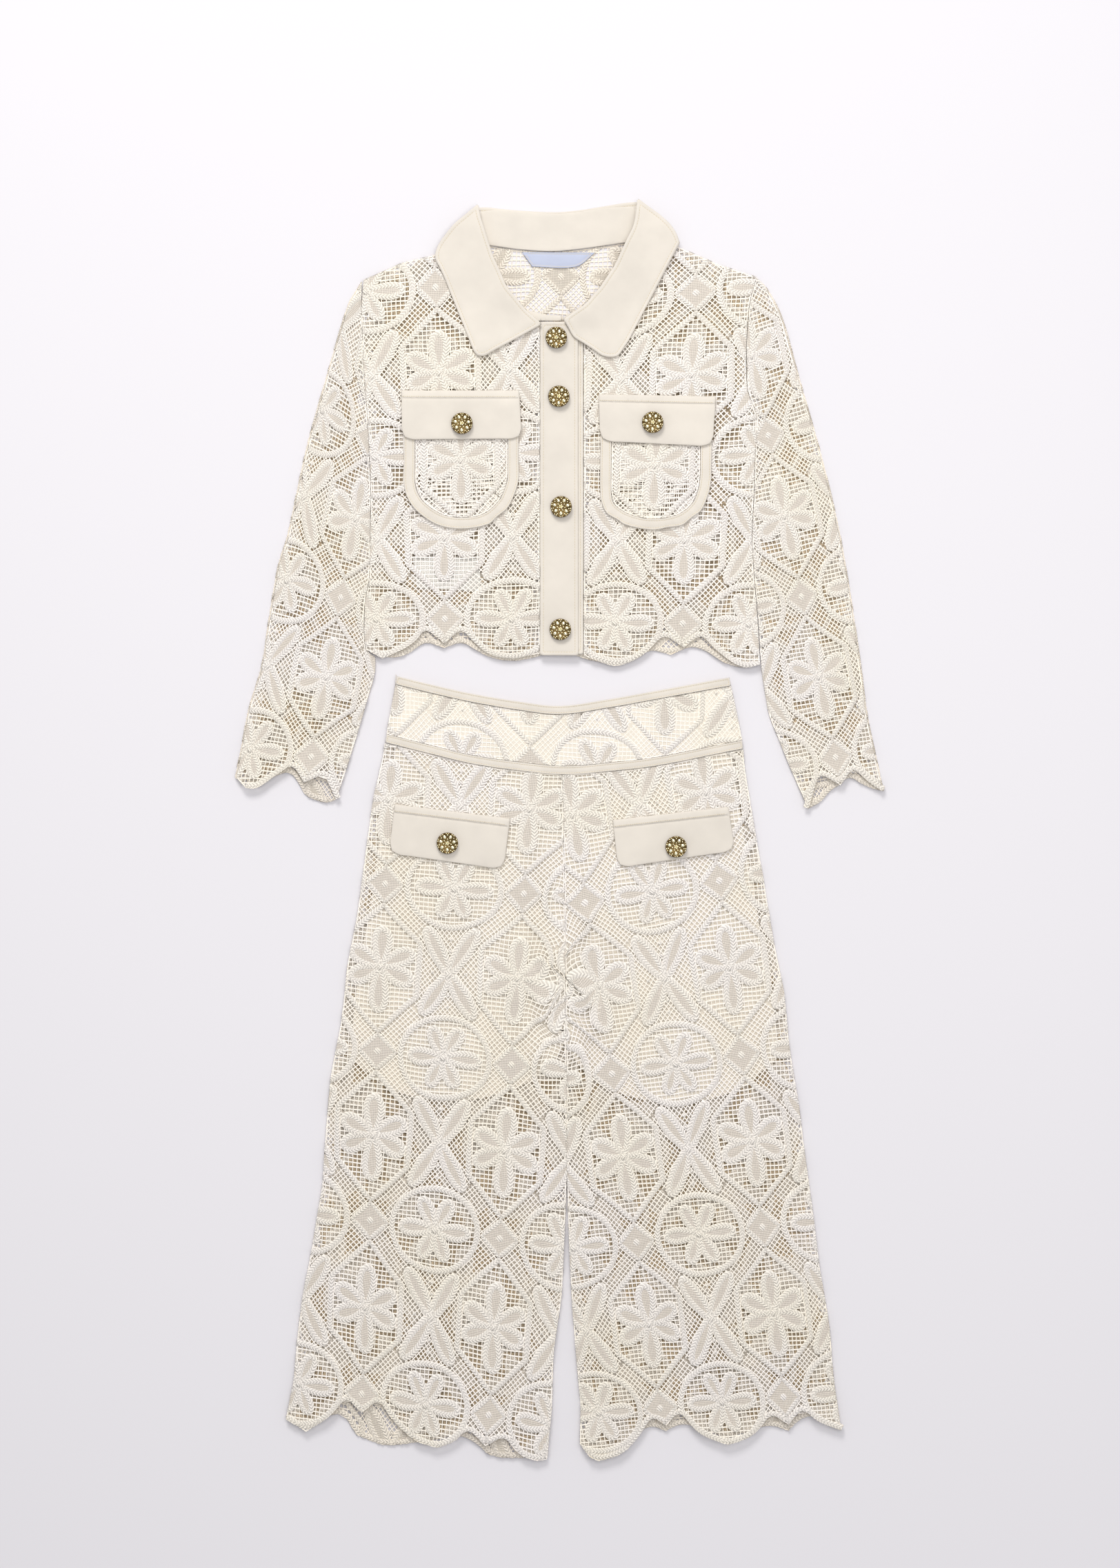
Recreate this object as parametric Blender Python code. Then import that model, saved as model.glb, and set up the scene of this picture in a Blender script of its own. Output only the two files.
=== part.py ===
"""Child's two-piece corded-lace suit, laid flat: cropped jacket above wide-leg trousers.

Lengths are millimetres until the last step. +Y runs to the collar, +X to the wearer's left, +Z up.
The underside of the back panels lies on z = 0.
"""
import math

import bpy
import bmesh
from mathutils import Vector
from mathutils.bvhtree import BVHTree
from mathutils.geometry import delaunay_2d_cdt

LACE = 1.6      # wall of a lace panel
BACK = 1.5      # wall of a panel that lies on the surface
REST = 0.4      # air between two layers that lie on each other
SEAM = 0.4      # gap in plan between two pieces at a seam

for name in ("Cube", "Camera", "Light"):
    if name in bpy.data.objects:
        bpy.data.objects.remove(bpy.data.objects[name])


# Small tools: distance, inside test, soft step

def away(x, y, line):
    """Distance from a point to an open polyline."""
    best = 1e9
    for (ax, ay), (bx, by) in zip(line, line[1:]):
        dx, dy = bx - ax, by - ay
        t = ((x - ax) * dx + (y - ay) * dy) / (dx * dx + dy * dy)
        t = min(max(t, 0.0), 1.0)
        best = min(best, math.hypot(x - ax - t * dx, y - ay - t * dy))
    return best


def inside(x, y, loop):
    """True inside a closed outline."""
    odd = False
    for (ax, ay), (bx, by) in zip(loop, loop[1:] + loop[:1]):
        if (ay > y) != (by > y) and x < (bx - ax) * (y - ay) / (by - ay) + ax:
            odd = not odd
    return odd


def rise(d, width):
    """0 at an edge, 1 from `width` on, rounded over."""
    t = min(max(d / width, 0.0), 1.0)
    return t * (2.0 - t)


def dense(loop, step):
    """A closed outline with no side longer than step."""
    out = []
    for a, b in zip(loop, loop[1:] + loop[:1]):
        n = max(1, math.ceil(math.dist(a, b) / step))
        out += [(a[0] + (b[0] - a[0]) * k / n, a[1] + (b[1] - a[1]) * k / n) for k in range(n)]
    return out


def along(line, step):
    """Points along an open line."""
    out = []
    for a, b in zip(line, line[1:]):
        n = max(1, math.ceil(math.dist(a, b) / step))
        out += [(a[0] + (b[0] - a[0]) * k / n, a[1] + (b[1] - a[1]) * k / n) for k in range(n)]
    return out + [line[-1]]


def bump(x, y, folds):
    """Soft folds, rows of (x0, y0, x1, y1, width, height)."""
    return sum(h * math.exp(-(away(x, y, [(x0, y0), (x1, y1)]) / w) ** 2)
               for x0, y0, x1, y1, w, h in folds)


# Lace motifs of one repeat, about the six-petal flower of the hexagon.
# Each row is a run of (x, y) in mm with its raise.

def petal(cx, cy, tx, ty, width, height=1.0):
    """A leaf from near (cx, cy) to the tip (cx + tx, cy + ty) with a ridge along it."""
    length = math.hypot(tx, ty)
    ax, ay = tx / length, ty / length

    def at(along, across):
        return cx + ax * along - ay * across, cy + ay * along + ax * across

    rim = [at(4.5, 0), at(0.58 * length, width / 2), at(length, 0), at(0.58 * length, -width / 2)]
    return [(rim + rim[:1], 0.0), ([at(0.34 * length, 0), at(0.82 * length, 0)], height)]


def oval(cx, cy, rx, ry, height, count=10):
    run = [(cx + rx * math.cos(math.tau * (k + 0.5) / count), cy + ry * math.sin(math.tau * (k + 0.5) / count))
           for k in range(count)]
    return run + run[:1], height


HEXAGON = ((32.5, 23.0), (0.0, 55.5), (-32.5, 23.0), (-32.5, -23.0), (0.0, -55.5), (32.5, -23.0))
PITCH = (119.0, 147.0)      # repeat across and along


def repeat():
    half_w, half_h = PITCH[0] / 2, PITCH[1] / 2
    runs = []
    for tx, ty, width in ((0, 35.6, 17), (0, -38, 17), (26, 14.5, 15), (-26, 14.5, 15),
                          (27.5, -10, 15), (-27.5, -10, 15)):
        runs += petal(0, 0, tx, ty, width)
    for grow, height in ((1.07, 0.0), (1.0, 0.8), (0.93, 0.0)):
        side = [(x * grow, y * grow) for x, y in HEXAGON]
        runs.append((side + side[:1], height))
    for tx, ty, width in ((33, 0, 14), (-33, 0, 14), (12, 25, 13), (-12, 25, 13), (11.5, -23, 13), (-11.5, -23, 13)):
        runs += petal(half_w, half_h, tx, ty, width)
    runs += [oval(half_w, half_h, 41.6, 36.2, 0.0), oval(half_w, half_h, 39.0, 33.6, 1.1),
             oval(half_w, half_h, 36.4, 31.0, 0.0)]
    for sx in (-1, 1):
        for sy in (-1, 1):
            runs += petal(half_w, 0, sx * 22.8, sy * 36.5, 12)
    for reach, height in ((16.8, 0.0), (12.8, 1.0), (8.8, 0.0)):
        run = [(reach, half_h), (0, half_h + reach), (-reach, half_h), (0, half_h - reach)]
        runs.append((run + run[:1], height))
    return runs


REPEAT = repeat()


def motifs(grid, loop, covered):
    """The raised runs of one panel: grid = (flower x, y, across x, y, along x, y), clipped to its outline."""
    gx, gy, ux, uy, vx, vy = grid
    rim = loop + loop[:1]

    def keep(p):
        return (inside(p[0], p[1], loop) and away(p[0], p[1], rim) > 2.4
                and not any(inside(p[0], p[1], patch) for patch in covered))

    def cut(a, b):
        for _ in range(12):
            m = ((a[0] + b[0]) / 2, (a[1] + b[1]) / 2)
            a, b = (m, b) if keep(m) else (a, m)
        return a

    out = []
    for i in range(-5, 6):
        for j in range(-6, 7):
            ox, oy = gx + i * ux + j * vx, gy + i * uy + j * vy
            if away(ox, oy, rim) > 130 and not inside(ox, oy, loop):
                continue
            for run, height in REPEAT:
                pts = [(ox + x / PITCH[0] * ux + y / PITCH[1] * vx, oy + x / PITCH[0] * uy + y / PITCH[1] * vy)
                       for x, y in run]
                flags = [keep(p) for p in pts]
                for a, b, ka, kb in zip(pts, pts[1:], flags, flags[1:]):
                    if ka and kb:
                        out.append((a, b, height, height))
                    elif ka:
                        out.append((a, cut(a, b), height, 0.0))
                    elif kb:
                        out.append((b, cut(b, a), height, 0.0))
    return out


# Meshing: a plate is a height field over an outline; plates can be joined along a fold

def skin(loop, height, edges, step, ring=()):
    """Triangles over an outline: (vertices, faces, rim indices). edges raise their own points."""
    pts, lift, wires = [Vector(p) for p in loop], [0.0] * len(loop), []
    for k in range(len(loop)):
        wires.append((k, (k + 1) % len(loop)))
    known = {}
    for a, b, *raises in edges:
        ends = []
        for p, raise_ in zip((a, b), raises):
            key = (round(p[0], 1), round(p[1], 1))
            if key not in known:
                known[key] = len(pts)
                pts.append(Vector(key))
                lift.append(raise_)
            ends.append(known[key])
        if ends[0] != ends[1]:
            wires.append(tuple(ends))
    rim = loop + loop[:1]
    xs, ys = [p[0] for p in loop], [p[1] for p in loop]
    for x, y in ring:
        if inside(x, y, loop) and away(x, y, rim) > 3.0 and \
                min((math.dist((x, y), q) for q in known), default=99.0) > 5.0:
            known[(x, y)] = len(pts)
            pts.append(Vector((x, y)))
            lift.append(0.0)
    taken = set((round(x / (step * 0.45)), round(y / (step * 0.45))) for x, y in known)
    y = min(ys) + step * 0.5
    while y < max(ys):
        x = min(xs) + step * 0.5
        while x < max(xs):
            if (round(x / (step * 0.45)), round(y / (step * 0.45))) not in taken and inside(x, y, loop) \
                    and away(x, y, rim) > step * 0.35:
                pts.append(Vector((x, y)))
                lift.append(0.0)
            x += step
        y += step
    out, _, faces, origin, _, _ = delaunay_2d_cdt(pts, wires, [], 0, 1e-5, True)
    where = {}
    verts = []
    for k, p in enumerate(out):
        up = max((lift[i] for i in origin[k]), default=0.0)
        for i in origin[k]:
            where[i] = k
        verts.append((p.x, p.y, height(p.x, p.y) + up))
    kept = []
    for f in faces:
        (ax, ay), (bx, by), (cx, cy) = [(out[i].x, out[i].y) for i in f]
        area = abs((bx - ax) * (cy - ay) - (cx - ax) * (by - ay)) / 2
        if area > 2e-3 and inside((ax + bx + cx) / 3, (ay + by + cy) / 3, loop):
            kept.append(tuple(f))
    return verts, kept, [where[k] for k in range(len(loop))]


def plate(loop, low, high, grid=None, covered=(), step=30.0, shrink=None, under=False, ring=()):
    """Upper and lower skin of one layer. shrink moves rim points of the face that looks into a fold."""
    edges = motifs(grid, loop, covered) if grid else []
    inner = list(loop)
    if shrink:
        inner = [shrink(p) for p in loop]
    top = skin(inner if under else loop, high, edges, step, ring)
    bottom = skin(loop if under else inner, low, [], step * (1.5 if grid else 1.0), ring)
    return {"loop": loop, "top": top, "bottom": bottom, "under": under}


def solid(name, plates, folds=(), colour=(0.86, 0.82, 0.74, 1.0), rough=0.85, metal=0.0):
    """One closed body from plates; folds = (upper plate, lower plate, set of rim points they share)."""
    verts, faces, base = [], [], []
    for p in plates:
        rims = []
        for key, flip in (("top", False), ("bottom", True)):
            off = len(verts)
            v, f, rim = p[key]
            verts += v
            faces += [tuple(off + i for i in (reversed(t) if flip else t)) for t in f]
            rims.append([off + i for i in rim])
        base.append(rims)
    folded = {}
    for a, b, shared in folds:
        folded.setdefault(a, []).append((b, shared))
        folded.setdefault(b, []).append((a, shared))
    for k, p in enumerate(plates):
        loop, n = p["loop"], len(p["loop"])
        for i in range(n):
            j = (i + 1) % n
            partner = None
            for other, shared in folded.get(k, []):
                if loop[i] in shared and loop[j] in shared:
                    partner = other
            up, down = base[k]
            if partner is None:
                faces.append((up[i], down[i], down[j], up[j]))
            elif not p["under"]:
                mate = plates[partner]["loop"]
                a, b = mate.index(loop[i]), mate.index(loop[j])
                up2, down2 = base[partner]
                faces.append((up[i], down2[a], down2[b], up[j]))
                faces.append((down[i], down[j], up2[b], up2[a]))
    mesh = bpy.data.meshes.new(name)
    mesh.from_pydata(verts, [], faces)
    bm = bmesh.new()
    bm.from_mesh(mesh)
    bmesh.ops.triangulate(bm, faces=[f for f in bm.faces if len(f.verts) > 3])
    bmesh.ops.holes_fill(bm, edges=[e for e in bm.edges if e.is_boundary], sides=4)
    bmesh.ops.triangulate(bm, faces=[f for f in bm.faces if len(f.verts) > 3])
    bmesh.ops.recalc_face_normals(bm, faces=bm.faces)
    bm.to_mesh(mesh)
    DECK[name] = BVHTree.FromBMesh(bm)
    bm.free()
    return finish(name, mesh, colour, rough, metal)


DECK = {}       # finished bodies, asked for their upper face by what lies on them


def over(names, gap, reach, base):
    """Height function of a piece lying `gap` above the named bodies, eased over their edges by `reach`."""
    around = [(0.0, 0.0)] + [(reach * math.cos(math.tau * k / 8), reach * math.sin(math.tau * k / 8)) for k in range(8)]

    def height(x, y):
        z = base(x, y)
        for dx, dy in around if reach else around[:1]:
            for name in names:
                hit = DECK[name].ray_cast(Vector((x + dx, y + dy, 90.0)), Vector((0, 0, -1)))
                if hit[0] is not None:
                    z = max(z, hit[0].z)
        return z + gap
    return height


def inward_rows(line, *insets):
    """Points along a side, moved in (towards x = 0 for the body, or by sign) for the rounded edge."""
    return [(x + by, y) for by in insets for x, y in along(line, 28)]


def finish(name, mesh, colour, rough, metal):
    mat = bpy.data.materials.new(name)
    mat.use_nodes = True
    shader = mat.node_tree.nodes["Principled BSDF"]
    shader.inputs["Base Color"].default_value = colour
    shader.inputs["Roughness"].default_value = rough
    shader.inputs["Metallic"].default_value = metal
    mesh.materials.append(mat)
    obj = bpy.data.objects.new(name, mesh)
    bpy.context.scene.collection.objects.link(obj)
    return obj


CREAM = (0.84, 0.78, 0.68, 1.0)
IVORY = (0.88, 0.84, 0.76, 1.0)

# Jacket outlines, each line top to bottom or from the wearer's right to left

SHOULDER_R = [(-170.0, 477.3), (-135.0, 492.6), (-107.4, 499.8), (-91.0, 511.8)]
SHOULDER_L = [(89.8, 513.6), (106.5, 504.6), (138.6, 490.8), (171.4, 480.0)]
ARMHOLE_R = [(-170.0, 477.3), (-171.8, 455.0), (-171.0, 430.0), (-169.5, 391.2), (-166.8, 359.7)]
ARMHOLE_L = [(171.4, 480.0), (165.4, 457.0), (162.6, 421.0), (163.6, 381.0), (171.2, 360.0)]
SIDE_R = [(-166.8, 359.7), (-165.6, 334.8), (-163.8, 290.4), (-164.4, 254.1), (-165.2, 217.8), (-169.0, 195.9),
          (-169.6, 168.0), (-168.1, 155.4)]
SIDE_L = [(171.2, 360.0), (169.0, 287.4), (167.4, 253.8), (169.0, 222.8), (172.4, 180.6), (174.4, 142.6)]
HEM_R = [(-168.1, 155.4), (-153.6, 147.6), (-133.2, 157.2), (-124.5, 164.0), (-116.4, 174.4), (-99.7, 160.6),
         (-85.2, 174.4), (-75.0, 162.8), (-60.6, 151.2), (-40.2, 147.6), (-17.2, 152.0)]
HEM_L = [(21.6, 150.6), (25.8, 148.2), (47.2, 141.1), (60.5, 144.2), (73.2, 151.2), (91.6, 168.7), (108.4, 157.2),
         (123.7, 169.4), (134.4, 157.2), (149.8, 145.0), (162.0, 139.6), (174.4, 142.6)]
HEM_BACK = [(-168.1, 155.4), (-153.0, 149.0), (-134.0, 151.0), (-117.0, 163.0), (-100.0, 157.0), (-85.0, 163.0),
            (-60.0, 149.0), (-38.0, 146.0), (-18.0, 150.0), (0.0, 156.0), (18.0, 149.0), (40.0, 144.0), (60.0, 145.0),
            (80.0, 156.0), (97.0, 151.0), (114.6, 159.0), (128.0, 154.5), (143.4, 144.4), (160.0, 140.0),
            (174.4, 142.6)]
NECK_R = [(-91.0, 511.8), (-86.6, 489.6), (-72.4, 461.4), (-46.3, 445.2), (-17.2, 437.8)]
NECK_L = [(89.8, 513.6), (86.0, 492.0), (72.0, 464.6), (48.0, 449.0), (21.6, 441.0)]
NECK_BACK = [(-91.0, 511.8), (-61.3, 507.0), (-27.6, 502.8), (2.4, 502.2), (58.1, 509.4), (89.8, 513.6)]

RIM_R = SHOULDER_R[::-1] + ARMHOLE_R[1:] + SIDE_R[1:] + HEM_R[1:]
RIM_L = SHOULDER_L + ARMHOLE_L[1:] + SIDE_L[1:] + HEM_L[::-1][1:]
JACKET_FOLDS = [
    # x0, y0, x1, y1, width, height
    (-150.0, 350.0, -110.0, 425.0, 11.0, 1.1), (-150.0, 230.0, -120.0, 200.0, 12.0, 1.2),
    (150.0, 355.0, 112.0, 430.0, 11.0, 1.1), (150.0, 240.0, 120.0, 196.0, 12.0, 1.2),
    (-60.0, 235.0, -52.0, 172.0, 9.0, 0.9), (58.0, 230.0, 74.0, 176.0, 9.0, 0.9),
]


def hem_lift(x, y):
    """The hem of the jacket curls off the surface, in every layer alike."""
    d = min(away(x, y, HEM_R), away(x, y, HEM_L), away(x, y, HEM_R[-1:] + HEM_L[:1]))
    return 2.6 * (1.0 - rise(d, 26.0)) * (0.75 + 0.25 * math.sin(x / 19.0))


def hem_rows(line, *ups):
    """Points above a hem, so that each layer follows the curl."""
    return [(x, y + up) for up in ups or (10.0, 25.0) for x, y in along(line, 24)]


def front_low(x, y):
    rim = RIM_R if x < 0 else RIM_L
    neck = min(max((y - 482.0) / 24.0, 0.0), 1.0)
    z = BACK + REST + 2.2 * rise(away(x, y, rim), 18.0) + 1.7 * neck + hem_lift(x, y)
    if x > 0:
        z -= 1.6 * (1.0 - rise(x - 21.0, 26.0)) * min(max((450.0 - y) / 20.0, 0.0), 1.0) * rise(away(x, y, rim), 18.0)
    return z + bump(x, y, JACKET_FOLDS) * rise(away(x, y, rim), 20.0)


def front_high(x, y):
    return front_low(x, y) + LACE


# Chest pockets and hip flaps: outlines on the panel under them

def tab(left, right, bottom_l, bottom_r, corner):
    """A flap: top corners, bottom corners, its lower corners rounded."""
    def round_off(p, a, b):
        pa = [p[k] + (a[k] - p[k]) * corner / math.dist(p, a) for k in (0, 1)]
        pb = [p[k] + (b[k] - p[k]) * corner / math.dist(p, b) for k in (0, 1)]
        mid = [(pa[k] + pb[k]) / 4 + p[k] / 2 for k in (0, 1)]
        return [tuple(pa), tuple(mid), tuple(pb)]
    return ([left] + round_off(bottom_l, left, bottom_r) + round_off(bottom_r, bottom_l, right) + [right])


FLAP_R = tab((-137.2, 380.5), (-34.9, 380.5), (-136.6, 337.6), (-32.6, 338.4), 9.0)
FLAP_L = tab((34.0, 377.4), (136.2, 375.3), (35.6, 336.4), (133.0, 331.6), 9.0)
POUCH_R = [(-135.1, 371.0), (-135.1, 300.0), (-132.4, 288.0), (-123.6, 275.4), (-105.6, 263.6), (-85.0, 260.2),
           (-62.0, 264.0), (-45.0, 278.4), (-38.0, 293.0), (-35.4, 304.0), (-35.4, 371.0)]
POUCH_L = [(36.0, 366.5), (35.4, 300.0), (36.0, 286.0), (41.0, 274.0), (58.2, 263.4), (81.0, 259.2),
           (106.8, 263.4), (123.6, 276.6), (130.0, 292.0), (132.0, 304.0), (133.0, 364.5)]


def shrunk(loop, by):
    """The outline moved in by `by`, corners mitred."""
    out, n = [], len(loop)
    turn = sum(a[0] * b[1] - b[0] * a[1] for a, b in zip(loop, loop[1:] + loop[:1]))
    sign = 1.0 if turn > 0 else -1.0
    for k in range(n):
        a, p, b = loop[k - 1], loop[k], loop[(k + 1) % n]
        la, lb = math.dist(a, p), math.dist(p, b)
        n1 = (-(p[1] - a[1]) / la, (p[0] - a[0]) / la)
        n2 = (-(b[1] - p[1]) / lb, (b[0] - p[0]) / lb)
        mx, my = n1[0] + n2[0], n1[1] + n2[1]
        s = 2.0 / max(mx * mx + my * my, 0.8)
        out.append((p[0] + sign * by * mx * s, p[1] + sign * by * my * s))
    return out


# The collar: wings over the fronts, its back half folded behind the stand

FOLD_R = [(-71.4, 541.8), (-66.6, 525.6), (-57.6, 497.4), (-45.6, 471.0), (-29.4, 451.2), (-15.6, 438.6)]
FOLD_L = [(69.0, 546.6), (64.0, 522.8), (48.0, 489.0), (36.0, 471.0), (22.2, 455.4), (3.4, 442.2)]
TURN_R = [(-106.2, 505.2), (-99.6, 515.4), (-91.0, 525.6), (-71.4, 541.8)]
TURN_L = [(69.0, 546.6), (87.9, 532.8), (97.0, 524.2), (102.0, 516.6)]
TOP_BACK = [(-71.4, 541.8), (-53.0, 539.8), (-36.6, 538.2), (-3.6, 536.7), (18.0, 538.4), (35.4, 541.2), (69.0, 546.6)]
WING_R = [(-15.6, 437.4), (-65.4, 410.4), (-71.4, 410.9), (-74.4, 414.6), (-87.6, 447.6), (-99.6, 477.6),
          (-108.0, 495.9)] + TURN_R + FOLD_R[1:]
WING_L = FOLD_L[::-1][:-1] + TURN_L + [(104.8, 508.9), (82.2, 465.6), (60.0, 423.3), (52.0, 411.6), (48.0, 409.6),
                                       (38.2, 410.4), (12.3, 427.2)]
STAND_R = ([(x + 0.5, y + 0.4) for x, y in NECK_R[:-1]] + [(-17.4, 438.6), (-17.2, 441.4), (2.2, 441.4), (2.2, 446.0), (-11.0, 446.6)]
           + [(x - 0.6, y + 0.4) for x, y in FOLD_R[::-1][1:-1]] + [(-69.8, 537.6)])
STAND_L = ([(x - 0.5, y + 0.4) for x, y in NECK_L] + [(3.0, 441.4), (3.0, 444.0)]
           + [(x + 0.6, y + 0.4) for x, y in FOLD_L[::-1][1:-1]] + [(66.4, 542.0)])


def stand_low(x, y):
    seam = NECK_R if x < 0 else NECK_L
    lift = rise(away(x, y, seam), 20.0) if inside(x, y, STAND_R) or inside(x, y, STAND_L) else 0.0
    z = BACK + REST + 2.2 * rise(away(x, y, RIM_R if x < 0 else RIM_L), 18.0)
    z += 1.7 * min(max((y - 482.0) / 24.0, 0.0), 1.0)
    return z + 2.4 * lift


def wing_roll(x, y):
    """The wing stands up a little along its inner fold."""
    fold = FOLD_R if x < 0 else FOLD_L
    return 1.6 * (1.0 - rise(away(x, y, fold), 22.0)) * rise(min(away(x, y, TURN_R), away(x, y, TURN_L)) + 2.0, 12.0)


# Jacket solids

under_pocket = [shrunk(POUCH_R, -2.0), shrunk(POUCH_L, -2.0), shrunk(FLAP_R, -2.0), shrunk(FLAP_L, -2.0),
                shrunk(WING_R, -2.0), shrunk(WING_L, -2.0)]

back = SHOULDER_R[::-1][:-1] + ARMHOLE_R[:-1] + SIDE_R[:-1] + HEM_BACK[:-1] + SIDE_L[::-1][:-1] \
    + ARMHOLE_L[::-1][:-1] + SHOULDER_L[::-1][:-1] + NECK_BACK[::-1][:-1]
solid("jacket_back", [plate(dense(back, 34), hem_lift, lambda x, y: hem_lift(x, y) + BACK, step=60, ring=hem_rows(HEM_BACK))])

front_r = SHOULDER_R[::-1][:-1] + ARMHOLE_R[:-1] + SIDE_R[:-1] + HEM_R + NECK_R[::-1][:-1]
solid("jacket_front_right", [plate(dense(front_r, 22), front_low, front_high, step=32, ring=hem_rows(HEM_R),
                                   grid=(-100.2, 252.0, 118.0, -1.0, -1.6, 145.0), covered=under_pocket)])
front_l = HEM_L + SIDE_L[::-1][1:] + ARMHOLE_L[::-1][1:] + SHOULDER_L[::-1][1:] + NECK_L[1:]
solid("jacket_front_left", [plate(dense(front_l, 22), front_low, front_high, step=32, ring=hem_rows(HEM_L),
                                  grid=(110.8, 252.0, 117.0, -1.6, 4.0, 142.0), covered=under_pocket)])


def sleeve(name, fold, cap, inner, cuff_front, cuff_back, grid, folds):
    """One piece folded at the outer edge; its two edges meet at the inner seam."""
    front = dense(fold + cuff_front + inner + cap, 24)
    rear = dense(fold + cuff_back + inner + cap, 24)
    shared = set(dense(fold, 24)[:len(dense(fold + cuff_front[:1], 24))]) & set(front) & set(rear)
    # fold ends at its last point, so the closing side of dense(fold) is left out by the second test
    rim = fold + []
    edge = inner + cap
    side = 1.0 if fold[0][0] > 0 else -1.0
    cuff = [fold[-1]] + cuff_front + [inner[0]]

    def lift(x, y):
        return 2.4 * (1.0 - rise(away(x, y, cuff), 24.0))

    def low(x, y):
        d = min(away(x, y, rim), away(x, y, edge))
        return BACK + REST + 1.5 * rise(d, 14.0) + lift(x, y) + bump(x, y, folds) * rise(d, 20.0)

    def shrink(p):
        by = 0.4 if p == fold[0] else 1.6
        return (p[0] - side * by, p[1]) if p in shared else p

    upper = plate(front, low, lambda x, y: low(x, y) + LACE, step=32, grid=grid, shrink=shrink, ring=hem_rows(cuff))
    lower = plate(rear, lift, lambda x, y: lift(x, y) + BACK, step=50, shrink=shrink, under=True, ring=hem_rows(cuff))
    return solid(name, [upper, lower], [(0, 1, shared)])


sleeve("sleeve_right",
       fold=[(-172.4, 476.0), (-176.4, 469.8), (-183.8, 457.4), (-202.2, 396.2), (-220.6, 330.4), (-237.4, 253.8),
             (-245.2, 228.6), (-253.9, 177.7), (-259.7, 141.4), (-271.3, 102.1), (-282.4, 43.9)],
       cuff_front=[(-272.8, 35.2), (-264.1, 34.6), (-249.6, 43.9), (-232.1, 56.3), (-221.9, 39.6), (-204.4, 47.6)],
       cuff_back=[(-272.0, 38.0), (-262.0, 38.4), (-246.0, 46.0), (-234.0, 50.0), (-226.0, 38.0), (-222.0, 30.0),
                  (-213.2, 25.0), (-202.0, 22.4)],
       inner=[(-194.3, 25.2), (-186.0, 50.0), (-178.3, 74.5), (-169.0, 106.0), (-160.8, 135.6), (-160.4, 149.0),
              (-168.6, 153.8), (-170.2, 168.0), (-169.6, 196.0), (-165.8, 217.8), (-165.0, 254.1), (-164.4, 290.4),
              (-166.2, 334.8)],
       cap=[(-167.4, 359.7), (-170.1, 391.2), (-171.6, 430.0), (-172.4, 455.0)],
       grid=(-202.3, 132.0, 106.0, -19.0, 25.3, 137.4),
       folds=[(-212.0, 345.0, -190.0, 300.0, 9.0, 1.0), (-232.0, 230.0, -196.0, 215.0, 10.0, 1.0),
              (-236.0, 150.0, -214.0, 90.0, 10.0, 0.9)])
sleeve("sleeve_left",
       fold=[(172.2, 479.4), (181.5, 469.4), (193.7, 446.4), (209.0, 393.0), (227.4, 328.6), (242.7, 265.8),
             (252.1, 214.1), (262.2, 146.8), (268.9, 96.2), (282.4, 32.3)],
       cuff_front=[(270.6, 39.0), (255.5, 53.3), (244.5, 37.3), (226.0, 48.2), (221.5, 34.0)],
       cuff_back=[(268.0, 36.4), (252.0, 46.0), (243.0, 37.0), (237.0, 34.2), (228.6, 24.0)],
       inner=[(216.7, 17.1), (199.9, 55.8), (191.0, 78.0), (183.1, 97.9), (178.4, 124.0), (176.0, 141.4),
              (173.4, 180.6), (169.8, 222.8), (168.2, 253.8), (169.8, 287.4)],
       cap=[(171.8, 360.0), (164.4, 381.0), (163.3, 421.0), (166.1, 457.0)],
       grid=(226.0, 131.6, 105.0, 21.0, -29.2, 139.0),
       folds=[(212.0, 345.0, 192.0, 305.0, 9.0, 1.0), (236.0, 232.0, 200.0, 216.0, 10.0, 1.0),
              (242.0, 150.0, 222.0, 92.0, 10.0, 0.9)])

# Plackets: the under band on the wearer's left front, the buttoned one over it

strip_u = [(-13.4, 153.0), (0.0, 151.6), (21.0, 151.2), (21.0, 440.4), (-13.4, 438.4)]
solid("placket_under", [plate(dense(strip_u, 30), lambda x, y: 2.2 + hem_lift(x, y), lambda x, y: 3.8 + hem_lift(x, y))],
      colour=CREAM)
strip_o = [(-16.8, 151.8), (-16.0, 150.2), (16.0, 150.0), (16.6, 151.4), (16.4, 440.6), (-16.8, 440.6)]


def placket_high(x, y):
    return 6.4 + hem_lift(x, y) - 0.7 * (1.0 - rise(min(x + 16.8, 16.6 - x), 2.0))


solid("placket_over", [plate(dense(strip_o, 24), lambda x, y: 4.2 + hem_lift(x, y), placket_high, step=12)],
      colour=CREAM)

# Chest pockets: lace pouch, bound edge, cloth flap


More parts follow.
